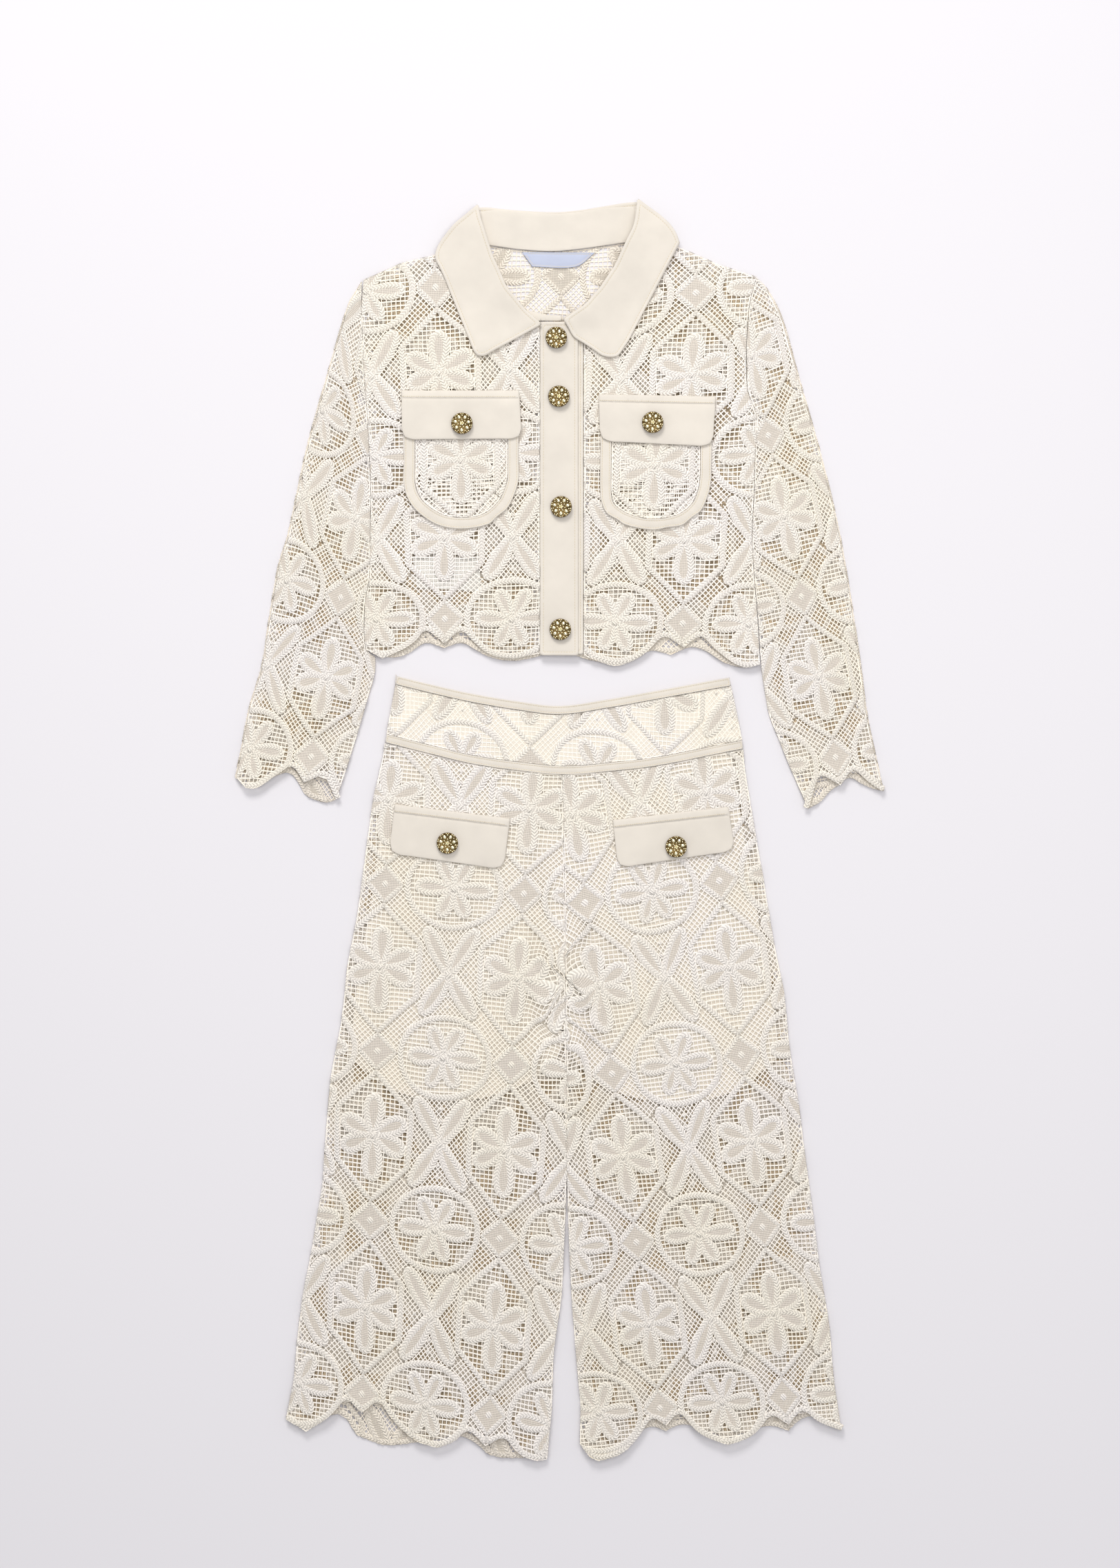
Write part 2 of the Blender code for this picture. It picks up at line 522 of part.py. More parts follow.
for side, pouch, flap, grid in (("right", POUCH_R, FLAP_R, (-100.2, 252.0, 118.0, -1.0, -1.6, 145.0)),
                                ("left", POUCH_L, FLAP_L, (110.8, 252.0, 117.0, -1.6, 4.0, 142.0))):
    front = "jacket_front_" + side
    on_panel = over([front], 0.4, 2.0, front_high)
    net, hole = shrunk(pouch, 9.6 + SEAM), shrunk(pouch, 9.6)
    for line in (net, hole):
        line[0], line[-1] = (line[0][0], pouch[0][1]), (line[-1][0], pouch[-1][1])
    solid("chest_pouch_" + side,
          [plate(dense(net, 16), on_panel, lambda x, y: on_panel(x, y) + 1.4, step=20, grid=grid,
                 covered=[shrunk(flap, -2.0)])])
    ring = pouch + hole[::-1]
    solid("chest_binding_" + side, [plate(dense(ring, 14), on_panel, lambda x, y: on_panel(x, y) + 1.9, step=24)],
          colour=CREAM)
    draped = over([front, "chest_pouch_" + side, "chest_binding_" + side], 0.8, 5.0, front_high)
    (ax, ay), (bx, by) = flap[0], flap[-1]
    row = [(ax + (bx - ax) * k / 10, ay + (by - ay) * k / 10 - 4.6) for k in range(11)]
    solid("chest_flap_" + side,
          [plate(dense(flap, 11), draped, lambda x, y: draped(x, y) + 1.9 - 0.6 * (1.0 - rise(away(x, y, flap[1:-1]), 2.0)),
                 step=9, ring=row)], colour=CREAM)

# Collar

wing_r, wing_l = dense(WING_R, 14), dense(WING_L, 14)
fall = TURN_R[:-1] + TOP_BACK[:-1] + TURN_L[:-1] + [(102.0, 516.6), (101.0, 510.6), (90.4, 514.7), (58.1, 510.6),
                                                    (2.4, 503.4), (-27.6, 504.0), (-61.3, 508.2), (-91.0, 512.9),
                                                    (-103.2, 503.6)]
fall = dense(fall, 14)
share_r = {p for p in fall if p in wing_r and away(p[0], p[1], TURN_R) < 0.01}
share_l = {p for p in fall if p in wing_l and away(p[0], p[1], TURN_L) < 0.01}


def tuck(p):
    """Into the fold at either side of the neck."""
    k = 0.5 if p in (TURN_R[0], TURN_L[-1]) else 1.0
    if p in share_r:
        return p[0] + 1.5 * k, p[1] - 1.1 * k
    if p in share_l:
        return p[0] - 1.5 * k, p[1] - 1.1 * k
    return p


stand_back = [(x, y + 0.5) for x, y in NECK_BACK] + [(66.4, 542.0)] + [(x, y - 1.6) for x, y in TOP_BACK[::-1][1:-1]] \
    + [(-69.8, 537.6)]
stand_back[0], stand_back[5] = STAND_R[0], STAND_L[0]
stand_b, stand_r, stand_l = dense(stand_back, 14), dense(STAND_R, 14), dense(STAND_L, 14)
side_r = {p for p in stand_b if p in stand_r}
side_l = {p for p in stand_b if p in stand_l}


def tuck_stand(p):
    if p in side_r:
        return p[0] + 1.5, p[1] - 0.8
    if p in side_l:
        return p[0] - 1.5, p[1] - 0.8
    return p


solid("collar_stand",
      [plate(stand_r, stand_low, lambda x, y: stand_low(x, y) + 1.3, step=16, shrink=tuck_stand),
       plate(stand_l, stand_low, lambda x, y: stand_low(x, y) + 1.3, step=16, shrink=tuck_stand),
       plate(stand_b, lambda x, y: 1.8, lambda x, y: 3.1, step=24, shrink=tuck_stand, under=True)],
      [(0, 2, side_r), (1, 2, side_l)], colour=CREAM)

deck = ["jacket_front_right", "jacket_front_left", "collar_stand", "placket_over"]
lying = over(deck, 0.5, 6.0, lambda x, y: front_low(x, y) + LACE)


def wing_low(x, y):
    return lying(x, y) + wing_roll(x, y)


solid("collar",
      [plate(wing_r, wing_low, lambda x, y: wing_low(x, y) + 2.0, step=15, shrink=tuck),
       plate(wing_l, wing_low, lambda x, y: wing_low(x, y) + 2.0, step=15, shrink=tuck),
       plate(fall, lambda x, y: 0.0, lambda x, y: 1.3, step=30, shrink=tuck, under=True)],
      [(0, 2, share_r), (1, 2, share_l)], colour=CREAM)

# Labels: the neck one bare, the care one bare under the front

on_back = over(["jacket_back"], 0.3, 0.0, lambda x, y: BACK)
solid("neck_label", [plate(dense([(-32.5, 501.6), (-23.5, 489.0), (14.3, 489.0), (31.2, 501.2)], 20),
                           on_back, lambda x, y: on_back(x, y) + 0.5)], colour=(0.55, 0.56, 0.68, 1.0))
solid("care_label", [plate(dense([(-128.0, 237.0), (-124.0, 209.0), (-68.0, 206.0), (-70.0, 235.0)], 20),
                           on_back, lambda x, y: on_back(x, y) + 0.4)], colour=(0.9, 0.9, 0.9, 1.0))

# Trouser outlines

OUT_R = [(-150.6, 76.6), (-153.0, 66.0), (-156.6, 48.6), (-162.0, 24.6), (-168.6, -23.4), (-175.2, -71.4),
         (-184.2, -119.4), (-189.6, -167.4), (-198.6, -215.4), (-203.0, -263.0), (-206.4, -311.4), (-214.2, -359.4),
         (-223.2, -407.4), (-228.0, -443.0), (-231.0, -479.4), (-237.8, -514.2)]
OUT_L = [(159.9, 76.0), (160.4, 62.0), (162.0, 48.6), (169.8, 0.6), (178.2, -47.4), (186.0, -95.4), (195.6, -143.4),
         (200.4, -191.4), (208.2, -239.4), (214.2, -287.4), (220.8, -335.4), (226.8, -383.4), (234.6, -431.4),
         (238.8, -479.4), (245.1, -523.8)]
IN_R = [(2.6, 46.0), (4.4, -50.0), (5.2, -143.4), (6.4, -220.0), (6.4, -299.4), (4.6, -350.0), (1.8, -407.4),
        (-4.8, -455.4), (-6.6, -503.4), (-10.8, -549.4)]
IN_L = [(3.0, 46.0), (4.8, -50.0), (5.6, -143.4), (6.8, -220.0), (6.8, -299.4), (8.2, -350.0), (10.8, -407.4),
        (14.4, -455.4), (18.6, -503.4), (18.0, -535.4)]
LEG_HEM_R = [(-237.8, -514.2), (-220.2, -524.9), (-202.0, -513.0), (-185.0, -494.9), (-171.8, -508.1),
             (-156.8, -496.7), (-143.0, -517.0), (-125.0, -532.6), (-105.8, -538.9), (-92.0, -533.4), (-79.4, -521.3),
             (-64.4, -537.2), (-47.7, -528.4), (-34.0, -545.0), (-17.8, -550.4), (-10.8, -549.4)]
LEG_HEM_L = [(18.0, -535.4), (26.0, -546.0), (33.9, -550.4), (52.0, -545.0), (67.0, -532.0), (80.5, -511.0),
             (92.9, -519.6), (104.3, -506.4), (122.0, -526.0), (146.5, -536.3), (168.0, -528.0), (184.4, -509.0),
             (199.3, -518.7), (211.0, -504.5), (226.0, -516.0), (245.1, -523.8)]
BACK_HEM_R = [(-237.8, -514.2), (-220.2, -522.0), (-202.0, -512.0), (-188.4, -508.8), (-176.4, -528.6),
              (-153.6, -537.0), (-126.6, -535.2), (-105.0, -532.0), (-90.0, -528.0), (-72.6, -535.2), (-60.0, -546.0),
              (-35.4, -548.4), (-18.0, -547.0), (-10.8, -549.4)]
BACK_HEM_L = [(18.0, -535.4), (34.0, -546.0), (52.0, -541.0), (67.0, -527.0), (80.5, -520.0), (93.0, -525.0),
              (106.0, -518.0), (122.0, -522.0), (146.5, -531.0), (168.0, -524.0), (184.4, -520.0), (199.3, -525.0),
              (211.0, -513.0), (226.0, -512.0), (245.1, -523.8)]
WAIST_TOP = [(-141.2, 132.2), (-135.4, 130.8), (-129.0, 129.2), (-110.0, 124.6), (-76.9, 117.2), (-38.0, 110.6), (0.2, 106.4), (42.0, 112.0),
             (83.8, 119.4), (136.0, 129.0), (142.4, 130.1), (148.1, 131.1)]
WAIST_LOW = [(-151.6, 74.4), (-145.4, 72.9), (-139.0, 71.3), (-114.0, 65.0), (-76.9, 56.1), (-36.0, 50.0), (4.6, 46.4), (44.0, 49.4), (83.8, 54.0),
             (147.6, 66.6), (154.0, 67.8), (159.9, 69.0)]
SIDES = [(-141.2, 132.2)] + OUT_R, [(148.1, 131.1)] + OUT_L

TROUSER_FOLDS = [
    (-34.0, -66.0, -6.0, -118.0, 8.0, 1.5), (-52.0, -108.0, -8.0, -136.0, 8.0, 1.4),
    (-62.0, -150.0, -10.0, -166.0, 9.0, 1.2), (40.0, -70.0, 10.0, -120.0, 8.0, 1.5),
    (58.0, -112.0, 12.0, -140.0, 8.0, 1.4), (66.0, -160.0, 16.0, -172.0, 9.0, 1.2),
    (-120.0, -40.0, -96.0, -150.0, 14.0, 0.9), (122.0, -44.0, 108.0, -150.0, 14.0, 0.9),
    (-70.0, -330.0, -86.0, -470.0, 16.0, 1.1), (98.0, -330.0, 120.0, -470.0, 16.0, 1.1),
    (-176.0, -330.0, -196.0, -470.0, 13.0, 0.9), (184.0, -330.0, 206.0, -470.0, 13.0, 0.9),
]


def leg_lift(x, y):
    hem = LEG_HEM_R if x < 4.0 else LEG_HEM_L
    return 3.4 * (1.0 - rise(away(x, y, hem), 30.0)) * (0.72 + 0.28 * math.sin(x / 17.0))


def lap_low(x, y):
    """Underside of the trouser front: over the lining above mid-thigh, on the back below it."""
    d = min(away(x, y, SIDES[0]), away(x, y, SIDES[1]))
    if y < -330.0:
        d = min(d, away(x, y, IN_R if x < 4.5 else IN_L) + 4.0)
    full = min(max((y + 285.0) / 45.0, 0.0), 1.0)
    full = full * full * (3.0 - 2.0 * full)
    z = BACK + REST + (1.6 + 1.25 * full) * rise(d, 12.0) + leg_lift(x, y)
    return z + bump(x, y, TROUSER_FOLDS) * rise(d, 22.0)


HIP_R = tab((-143.2, 20.8), (-42.7, 8.4), (-148.0, -21.8), (-48.6, -36.0), 9.0)
HIP_L = tab((46.3, 7.2), (147.0, 18.6), (51.0, -34.6), (152.6, -19.6), 9.0)
under_flaps = [shrunk(HIP_R, -2.0), shrunk(HIP_L, -2.0)]

GRID_R = (-36.0, -130.8, 116.5, -10.5, 10.6, 149.4)
GRID_L = (56.4, -292.2, 113.0, 12.0, -21.6, 147.0)


def seam_line(x):
    """Just under the waist binding."""
    for (ax, ay), (bx, by) in zip(WAIST_LOW, WAIST_LOW[1:]):
        if x <= bx:
            return ay + (by - ay) * (x - ax) / (bx - ax) - SEAM
    return WAIST_LOW[-1][1] - SEAM


def leg(side, outer, hem, inner, grid, low, high, wall_step, cover=()):
    top = [p for p in WAIST_LOW if (p[0] < 2.0 if side == "right" else p[0] > 8.0)]
    if side == "right":
        top = [(x, y - SEAM) for x, y in top[1:]]
        loop = [p for p in outer if p[1] < 70.0] + hem[1:-1] + inner[::-1] + top[::-1]
        loop = [(-152.2, 73.6)] + loop
    else:
        top = [(x, y - SEAM) for x, y in top[:-1]]
        loop = inner + hem[1:-1] + [p for p in outer if p[1] < 66.0][::-1] + [(160.2, 68.2)] + top[::-1]
    sign = 1.0 if side == "right" else -1.0
    rows = hem_rows(hem, 12.0, 29.0)
    if grid:
        rows += inward_rows([p for p in outer if p[1] > -300.0], 12.0 * sign)
    return plate(dense(loop, 30), low, high, step=wall_step, grid=grid, covered=cover, ring=rows)


for side, outer, hem, rear, inner, grid in (("right", OUT_R, LEG_HEM_R, BACK_HEM_R, IN_R, GRID_R),
                                            ("left", OUT_L, LEG_HEM_L, BACK_HEM_L, IN_L, GRID_L)):
    inner = [(x, seam_line(x)) if k == 0 else (x, y) for k, (x, y) in enumerate(inner)]
    solid("trouser_back_" + side,
          [leg(side, outer, rear, inner, None, leg_lift, lambda x, y: leg_lift(x, y) + BACK, 60)])
    solid("trouser_front_" + side,
          [leg(side, outer, hem, inner, grid, lap_low, lambda x, y: lap_low(x, y) + LACE, 34, under_flaps)])

# Waistband: lace front and back between two bound edges

BIND = 7.5


def dropped(line, by):
    return [(x, y - by) for x, y in line]


top_low, low_top = dropped(WAIST_TOP, BIND), dropped(WAIST_LOW, -BIND)
top_low[0], top_low[-1] = (-142.6, 125.0), (149.4, 123.8)
low_top[0], low_top[-1] = (-150.4, 81.6), (159.2, 76.4)


def slab_low(x, y):
    return lap_low(x, max(y, 40.0))


band = dropped(top_low, SEAM) + dropped(low_top, -SEAM)[::-1]
solid("waistband_back", [plate(dense(band, 30), lambda x, y: 0.0, lambda x, y: BACK, step=40)])
solid("waistband_front", [plate(dense(band, 26), slab_low, lambda x, y: slab_low(x, y) + LACE, step=30,
                                ring=inward_rows([(-141.0, 128.0), (-150.6, 78.0)], 12.0)
                                + inward_rows([(148.4, 128.0), (159.6, 76.0)], -12.0),
                                grid=(-25.8, 90.0, 118.0, -8.0, 6.0, 147.0))])


def binding(name, upper, lower):
    """A strip all the way round the waist, folded flat at each side."""
    loop = dense(lower + upper[::-1], 26)
    ends = {lower[0], upper[0]}, {lower[-1], upper[-1]}

    def inward(p):
        if p in ends[0]:
            return p[0] + 1.7, p[1] - 0.42
        if p in ends[1]:
            return p[0] - 1.7, p[1] - 0.33
        return p

    def high(x, y):
        return slab_low(x, y) + 2.3

    return solid(name, [plate(loop, slab_low, high, step=26, shrink=inward),
                        plate(loop, lambda x, y: 0.0, lambda x, y: BACK, step=30, shrink=inward, under=True)],
                 [(0, 1, ends[0]), (0, 1, ends[1])], colour=CREAM)


binding("waist_binding_top", WAIST_TOP, top_low)
binding("waist_binding_bottom", low_top, WAIST_LOW)

# Hip flaps


for side, loop in (("right", HIP_R), ("left", HIP_L)):
    on_leg = over(["trouser_front_" + side], 0.4, 3.0, lambda x, y: lap_low(x, y) + LACE)
    solid("hip_flap_" + side,
          [plate(dense(loop, 11), on_leg, lambda x, y: on_leg(x, y) + 1.9 - 0.6 * (1.0 - rise(away(x, y, loop[1:-1]), 2.0)),
                 step=10)], colour=CREAM)

# Lining: shorts inside the lace, each leg folded at its outer side


def lining(side, outer, inner, lower_edge, upper_edge):
    inset = -10.0 if side == "left" else 10.0
    fold = [(x + inset, y) for x, y in outer]
    front = dense(fold + lower_edge + inner + upper_edge, 30)
    shared = {p for p in front if away(p[0], p[1], fold) < 0.01}

    def low(x, y):
        return 3.0 + 0.15 * rise(away(x, y, fold), 10.0)

    def inward(p):
        return (p[0] + (1.4 if side == "right" else -1.4), p[1]) if p in shared else p

    return solid("lining_" + side,
                 [plate(front, low, lambda x, y: low(x, y) + 0.8, step=50, shrink=inward),
                  plate(front, lambda x, y: 1.8, lambda x, y: 2.6, step=60, shrink=inward, under=True)],
                 [(0, 1, shared)], colour=IVORY)


up_r = dropped(top_low, 1.0)
lining("right", [(-143.2, 116.0), (-146.6, 98.0)] + [p for p in OUT_R if 70.0 > p[1] > -190.0] + [(-194.6, -199.0)],
       [(x - 0.4, y) for x, y in IN_R[::-1] if 40 > y > -150.0] + [(2.2, 44.0), (0.4, 97.8)],
       [(-150.0, -226.0), (-112.0, -237.0), (-72.0, -236.0), (-32.0, -224.0), (-8.0, -206.0), (4.6, -186.0)],
       [(x, y) for x, y in up_r[::-1] if -130.0 < x < -1.0])
lining("left", [(150.0, 116.0), (154.6, 96.0)] + [p for p in OUT_L if 66.0 > p[1] > -190.0] + [(201.6, -199.0)],
       [(x + 0.6, y) for x, y in IN_L[::-1] if 40 > y > -150.0] + [(3.4, 44.0), (1.0, 97.8)],
       [(160.0, -226.0), (122.0, -238.0), (82.0, -238.0), (40.0, -226.0), (18.0, -208.0), (6.6, -186.0)],
       [(x, y) for x, y in up_r if 1.5 < x < 140.0])

# Buttons: a domed disc with a rope rim on a shank


def button(name, x, y, base):
    profile = [(0.0, 0.0), (2.4, 0.0), (2.4, 1.6), (8.2, 2.0), (9.3, 2.9), (8.8, 4.1), (7.2, 4.3), (4.2, 5.5), (0.0, 6.0)]
    count = 14
    bm = bmesh.new()
    rings = []
    for r, z in profile:
        if r == 0.0:
            rings.append([bm.verts.new((x, y, base + z))])
        else:
            rings.append([bm.verts.new((x + r * math.cos(math.tau * k / count), y + r * math.sin(math.tau * k / count),
                                        base + z)) for k in range(count)])
    for a, b in zip(rings, rings[1:]):
        for k in range(count):
            m = (k + 1) % count
            quad = [a[k % len(a)], a[m % len(a)], b[m % len(b)], b[k % len(b)]]
            quad = [v for i, v in enumerate(quad) if v not in quad[:i]]
            bm.faces.new(quad)
    bmesh.ops.triangulate(bm, faces=bm.faces)
    bmesh.ops.recalc_face_normals(bm, faces=bm.faces)
    mesh = bpy.data.meshes.new(name)
    bm.to_mesh(mesh)
    bm.free()
    return finish(name, mesh, (0.75, 0.55, 0.25, 1.0), 0.35, 1.0)


for name, cloth, x, y in (("button_front_1", "placket_over", -2.6, 426.3), ("button_front_2", "placket_over", -0.4, 375.2),
                          ("button_front_3", "placket_over", 1.6, 279.3), ("button_front_4", "placket_over", 0.9, 172.7),
                          ("button_chest_right", "chest_flap_right", -84.5, 351.3),
                          ("button_chest_left", "chest_flap_left", 81.0, 352.2),
                          ("button_hip_right", "hip_flap_right", -97.1, -13.0),
                          ("button_hip_left", "hip_flap_left", 101.4, -16.1)):
    button(name, x, y, over([cloth], 0.3, 3.0, lambda x, y: 0.0)(x, y))

# Into metres, with the origin under the middle of the whole

everything = [o for o in bpy.context.scene.objects if o.type == "MESH"]
lo = [min(v.co[k] for o in everything for v in o.data.vertices) for k in range(3)]
hi = [max(v.co[k] for o in everything for v in o.data.vertices) for k in range(3)]
print("box", lo, hi)
for o in everything:
    for v in o.data.vertices:
        v.co.x = (v.co.x - (lo[0] + hi[0]) / 2) / 1000.0
        v.co.y = (v.co.y - (lo[1] + hi[1]) / 2) / 1000.0
        v.co.z = (v.co.z - lo[2]) / 1000.0
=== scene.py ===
"""Child's corded-lace jacket and trousers, laid flat on a pale surface and seen from straight above."""
import math

import bmesh
import bpy
import numpy as np
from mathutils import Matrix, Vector
from mathutils.bvhtree import BVHTree
from mathutils.geometry import delaunay_2d_cdt


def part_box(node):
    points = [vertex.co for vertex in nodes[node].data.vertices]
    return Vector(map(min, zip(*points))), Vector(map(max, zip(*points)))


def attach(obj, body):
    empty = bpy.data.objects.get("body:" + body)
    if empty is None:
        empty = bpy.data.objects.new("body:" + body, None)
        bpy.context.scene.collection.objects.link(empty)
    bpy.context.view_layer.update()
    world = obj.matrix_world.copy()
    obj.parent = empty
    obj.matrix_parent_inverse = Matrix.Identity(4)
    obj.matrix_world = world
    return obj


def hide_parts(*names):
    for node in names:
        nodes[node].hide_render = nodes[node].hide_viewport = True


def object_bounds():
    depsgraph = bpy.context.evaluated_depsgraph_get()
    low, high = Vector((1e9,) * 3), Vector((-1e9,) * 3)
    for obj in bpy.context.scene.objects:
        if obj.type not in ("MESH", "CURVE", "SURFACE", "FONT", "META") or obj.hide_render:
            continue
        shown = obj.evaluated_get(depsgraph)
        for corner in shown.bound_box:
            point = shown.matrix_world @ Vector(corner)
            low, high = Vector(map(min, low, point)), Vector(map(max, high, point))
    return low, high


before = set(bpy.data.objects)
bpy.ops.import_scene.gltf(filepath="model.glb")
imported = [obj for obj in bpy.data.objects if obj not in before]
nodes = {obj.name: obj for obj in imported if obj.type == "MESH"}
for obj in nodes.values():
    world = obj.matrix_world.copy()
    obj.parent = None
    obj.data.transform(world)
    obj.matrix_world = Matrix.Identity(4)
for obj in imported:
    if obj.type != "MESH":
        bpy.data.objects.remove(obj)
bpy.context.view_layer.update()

# Backs of the jacket and trousers
# Corded cotton lace: braided cords and leaves on a hand-tied net, lying flat on the surface.
# Each panel follows the under side of its CAD solid; lengths are millimetres until a mesh is made.

EDGE_ON = 0.3            # a face whose normal rises less is on an edge
SMALLEST_SHEET = 30.0    # mm2
ABOVE_ALL = 60.0         # a height that clears every piece


def skins(name):
    """The faces of a CAD node that look up or down, as sheets sorted by height: (outline, tree, mean z)."""
    node = nodes[name]
    bm = bmesh.new()
    bm.from_mesh(node.data)
    bm.transform(node.matrix_world)
    bmesh.ops.scale(bm, vec=(1000.0, 1000.0, 1000.0), verts=bm.verts)
    bmesh.ops.remove_doubles(bm, verts=bm.verts, dist=0.002)
    bm.faces.ensure_lookup_table()
    side = [0 if abs(f.normal.z) < EDGE_ON else (1 if f.normal.z > 0 else -1) for f in bm.faces]
    seen, out = set(), []
    for f in bm.faces:
        if f.index in seen or not side[f.index]:
            continue
        group, stack = [], [f]
        seen.add(f.index)
        while stack:
            g = stack.pop()
            group.append(g)
            for e in g.edges:
                for h in e.link_faces:
                    if h.index not in seen and side[h.index] == side[f.index]:
                        seen.add(h.index)
                        stack.append(h)
        inside = {g.index for g in group}
        chain = {}
        for g in group:
            for lp in g.loops:
                if sum(h.index in inside for h in lp.edge.link_faces) == 1:
                    chain[lp.vert.index] = lp.link_loop_next.vert.index
        loops = []
        while chain:
            start = next(iter(chain))
            run, at = [], start
            while at in chain:
                run.append(at)
                at = chain.pop(at)
            loops.append(run)
        rim = max(loops, key=len)
        bm.verts.ensure_lookup_table()
        outline = np.array([bm.verts[i].co.xy for i in rim])
        verts = [v.co.copy() for v in bm.verts]
        tree = BVHTree.FromPolygons(verts, [[v.index for v in g.verts] for g in group])
        area = sum(g.calc_area() for g in group)
        if area > SMALLEST_SHEET:
            z = sum(g.calc_center_median().z * g.calc_area() for g in group) / area
            out.append({"outline": outline, "tree": tree, "z": z})
    bm.free()
    return sorted(out, key=lambda s: s["z"])


def bed(skin, step=4.0, soft=2):
    """Smoothed height of a sheet as a function of an (n, 2) array."""
    lo, hi = skin["outline"].min(0) - 3 * step, skin["outline"].max(0) + 3 * step
    nx, ny = (np.ceil((hi - lo) / step)).astype(int) + 1
    z = np.full((ny, nx), np.nan)
    for j in range(ny):
        for i in range(nx):
            over = Vector((lo[0] + i * step, lo[1] + j * step, ABOVE_ALL))
            hit = skin["tree"].ray_cast(over, Vector((0, 0, -1)))[0]
            if hit is not None:
                z[j, i] = hit.z
    for _ in range(5):
        pad = np.pad(z, 1, constant_values=np.nan)
        near = np.stack([pad[1 + a:ny + 1 + a, 1 + b:nx + 1 + b] for a in (-1, 0, 1) for b in (-1, 0, 1)])
        mean = np.nanmean(np.where(np.isnan(near).all(0), 0.0, near), axis=0)
        empty = np.isnan(z) & ~np.isnan(near).all(0)
        z[empty] = mean[empty]
    z[np.isnan(z)] = np.nanmean(z)
    for _ in range(soft):
        pad = np.pad(z, 1, mode="edge")
        z = sum(w * pad[1 + a:ny + 1 + a, 1 + b:nx + 1 + b]
                for a, b, w in ((0, 0, .25), (1, 0, .125), (-1, 0, .125), (0, 1, .125), (0, -1, .125),
                                (1, 1, .0625), (-1, 1, .0625), (1, -1, .0625), (-1, -1, .0625)))

    def height(p):
        q = (p - lo) / step
        i = np.clip(np.floor(q[:, 0]).astype(int), 0, nx - 2)
        j = np.clip(np.floor(q[:, 1]).astype(int), 0, ny - 2)
        fx, fy = np.clip(q[:, 0] - i, 0, 1), np.clip(q[:, 1] - j, 0, 1)
        return ((z[j, i] * (1 - fx) + z[j, i + 1] * fx) * (1 - fy)
                + (z[j + 1, i] * (1 - fx) + z[j + 1, i + 1] * fx) * fy)
    return height


def border(p, loop, closed=True):
    """(distance, nearest point, inside) of an (n, 2) array against an outline."""
    a, b = loop, np.roll(loop, -1, axis=0)
    if not closed:
        a, b = loop[:-1], loop[1:]
    best = np.full(len(p), 1e9)
    near = np.zeros_like(p)
    odd = np.zeros(len(p), bool)
    for (ax, ay), (bx, by) in zip(a, b):
        dx, dy = bx - ax, by - ay
        t = np.clip(((p[:, 0] - ax) * dx + (p[:, 1] - ay) * dy) / (dx * dx + dy * dy + 1e-12), 0, 1)
        qx, qy = ax + t * dx, ay + t * dy
        d = np.hypot(p[:, 0] - qx, p[:, 1] - qy)
        hit = d < best
        best[hit] = d[hit]
        near[hit, 0], near[hit, 1] = qx[hit], qy[hit]
        if ay != by:
            odd ^= ((ay > p[:, 1]) != (by > p[:, 1])) & (p[:, 0] < dx * (p[:, 1] - ay) / dy + ax)
    return best, near, odd


def creases(p, rows):
    """Soft ridges, rows of (x0, y0, x1, y1, width, height)."""
    z = np.zeros(len(p))
    for x0, y0, x1, y1, wide, high in rows:
        d = border(p, np.array([(x0, y0), (x1, y1)]), closed=False)[0]
        z += high * np.exp(-(d / wide) ** 2)
    return z


def ripple(p, scale, seed=0.0):
    """Smooth uneven waves between -1 and 1, as hand-laid cloth has."""
    x, y = p[:, 0] / scale, p[:, 1] / scale
    return (np.sin(1.9 * x + 1.3 * y + seed) + np.sin(-1.1 * x + 2.3 * y + 2.1 * seed + 1.7)
            + np.sin(3.1 * x - 0.6 * y + 0.7 * seed + 4.0)) / 3.0


def make(name, verts, faces, uv=None, mats=(), index=None):
    """A smooth mesh object from millimetres, at the origin."""
    mesh = bpy.data.meshes.new(name)
    mesh.from_pydata((np.asarray(verts, float) / 1000.0).tolist(), [], faces)
    for m in mats:
        mesh.materials.append(m)
    if index is not None:
        mesh.polygons.foreach_set("material_index", np.asarray(index, np.int32))
    if uv is not None:
        layer = mesh.uv_layers.new(name="along")
        loops = np.zeros(len(mesh.loops), np.int32)
        mesh.loops.foreach_get("vertex_index", loops)
        layer.data.foreach_set("uv", (np.asarray(uv)[loops] / 1000.0).ravel())
    mesh.polygons.foreach_set("use_smooth", np.ones(len(mesh.polygons), bool))
    mesh.update()
    obj = bpy.data.objects.new(name, mesh)
    bpy.context.scene.collection.objects.link(obj)
    return obj


def hex_colour(code):
    """sRGB hex to linear RGBA."""
    c = [int(code[k:k + 2], 16) / 255 for k in (0, 2, 4)]
    return tuple(x / 12.92 if x <= 0.04045 else ((x + 0.055) / 1.055) ** 2.4 for x in c) + (1.0,)


def material(name):
    """A new material and a function that adds a node with its settings and links."""
    mat = bpy.data.materials.new(name)
    mat.use_nodes = True
    tree = mat.node_tree
    tree.nodes.clear()

    def add(kind, links=(), **values):
        node = tree.nodes.new(kind)
        settings = {p.identifier for p in node.bl_rna.properties}
        for key, value in values.items():
            if key in settings:
                setattr(node, key, value)
            else:
                node.inputs[int(key[1:]) if key[:1] == "_" else key.replace("_", " ")].default_value = value
        for key, source in dict(links).items():
            tree.links.new(source, node.inputs[key])
        return node
    return mat, add


CORD, FILL, THREAD, PAINTED_SHADE_SHEET = 0, 1, 2, 3    # kinds of lace, in the order of a finish's materials
CORNER = 38.0    # degrees: an outline that turns more has a real corner


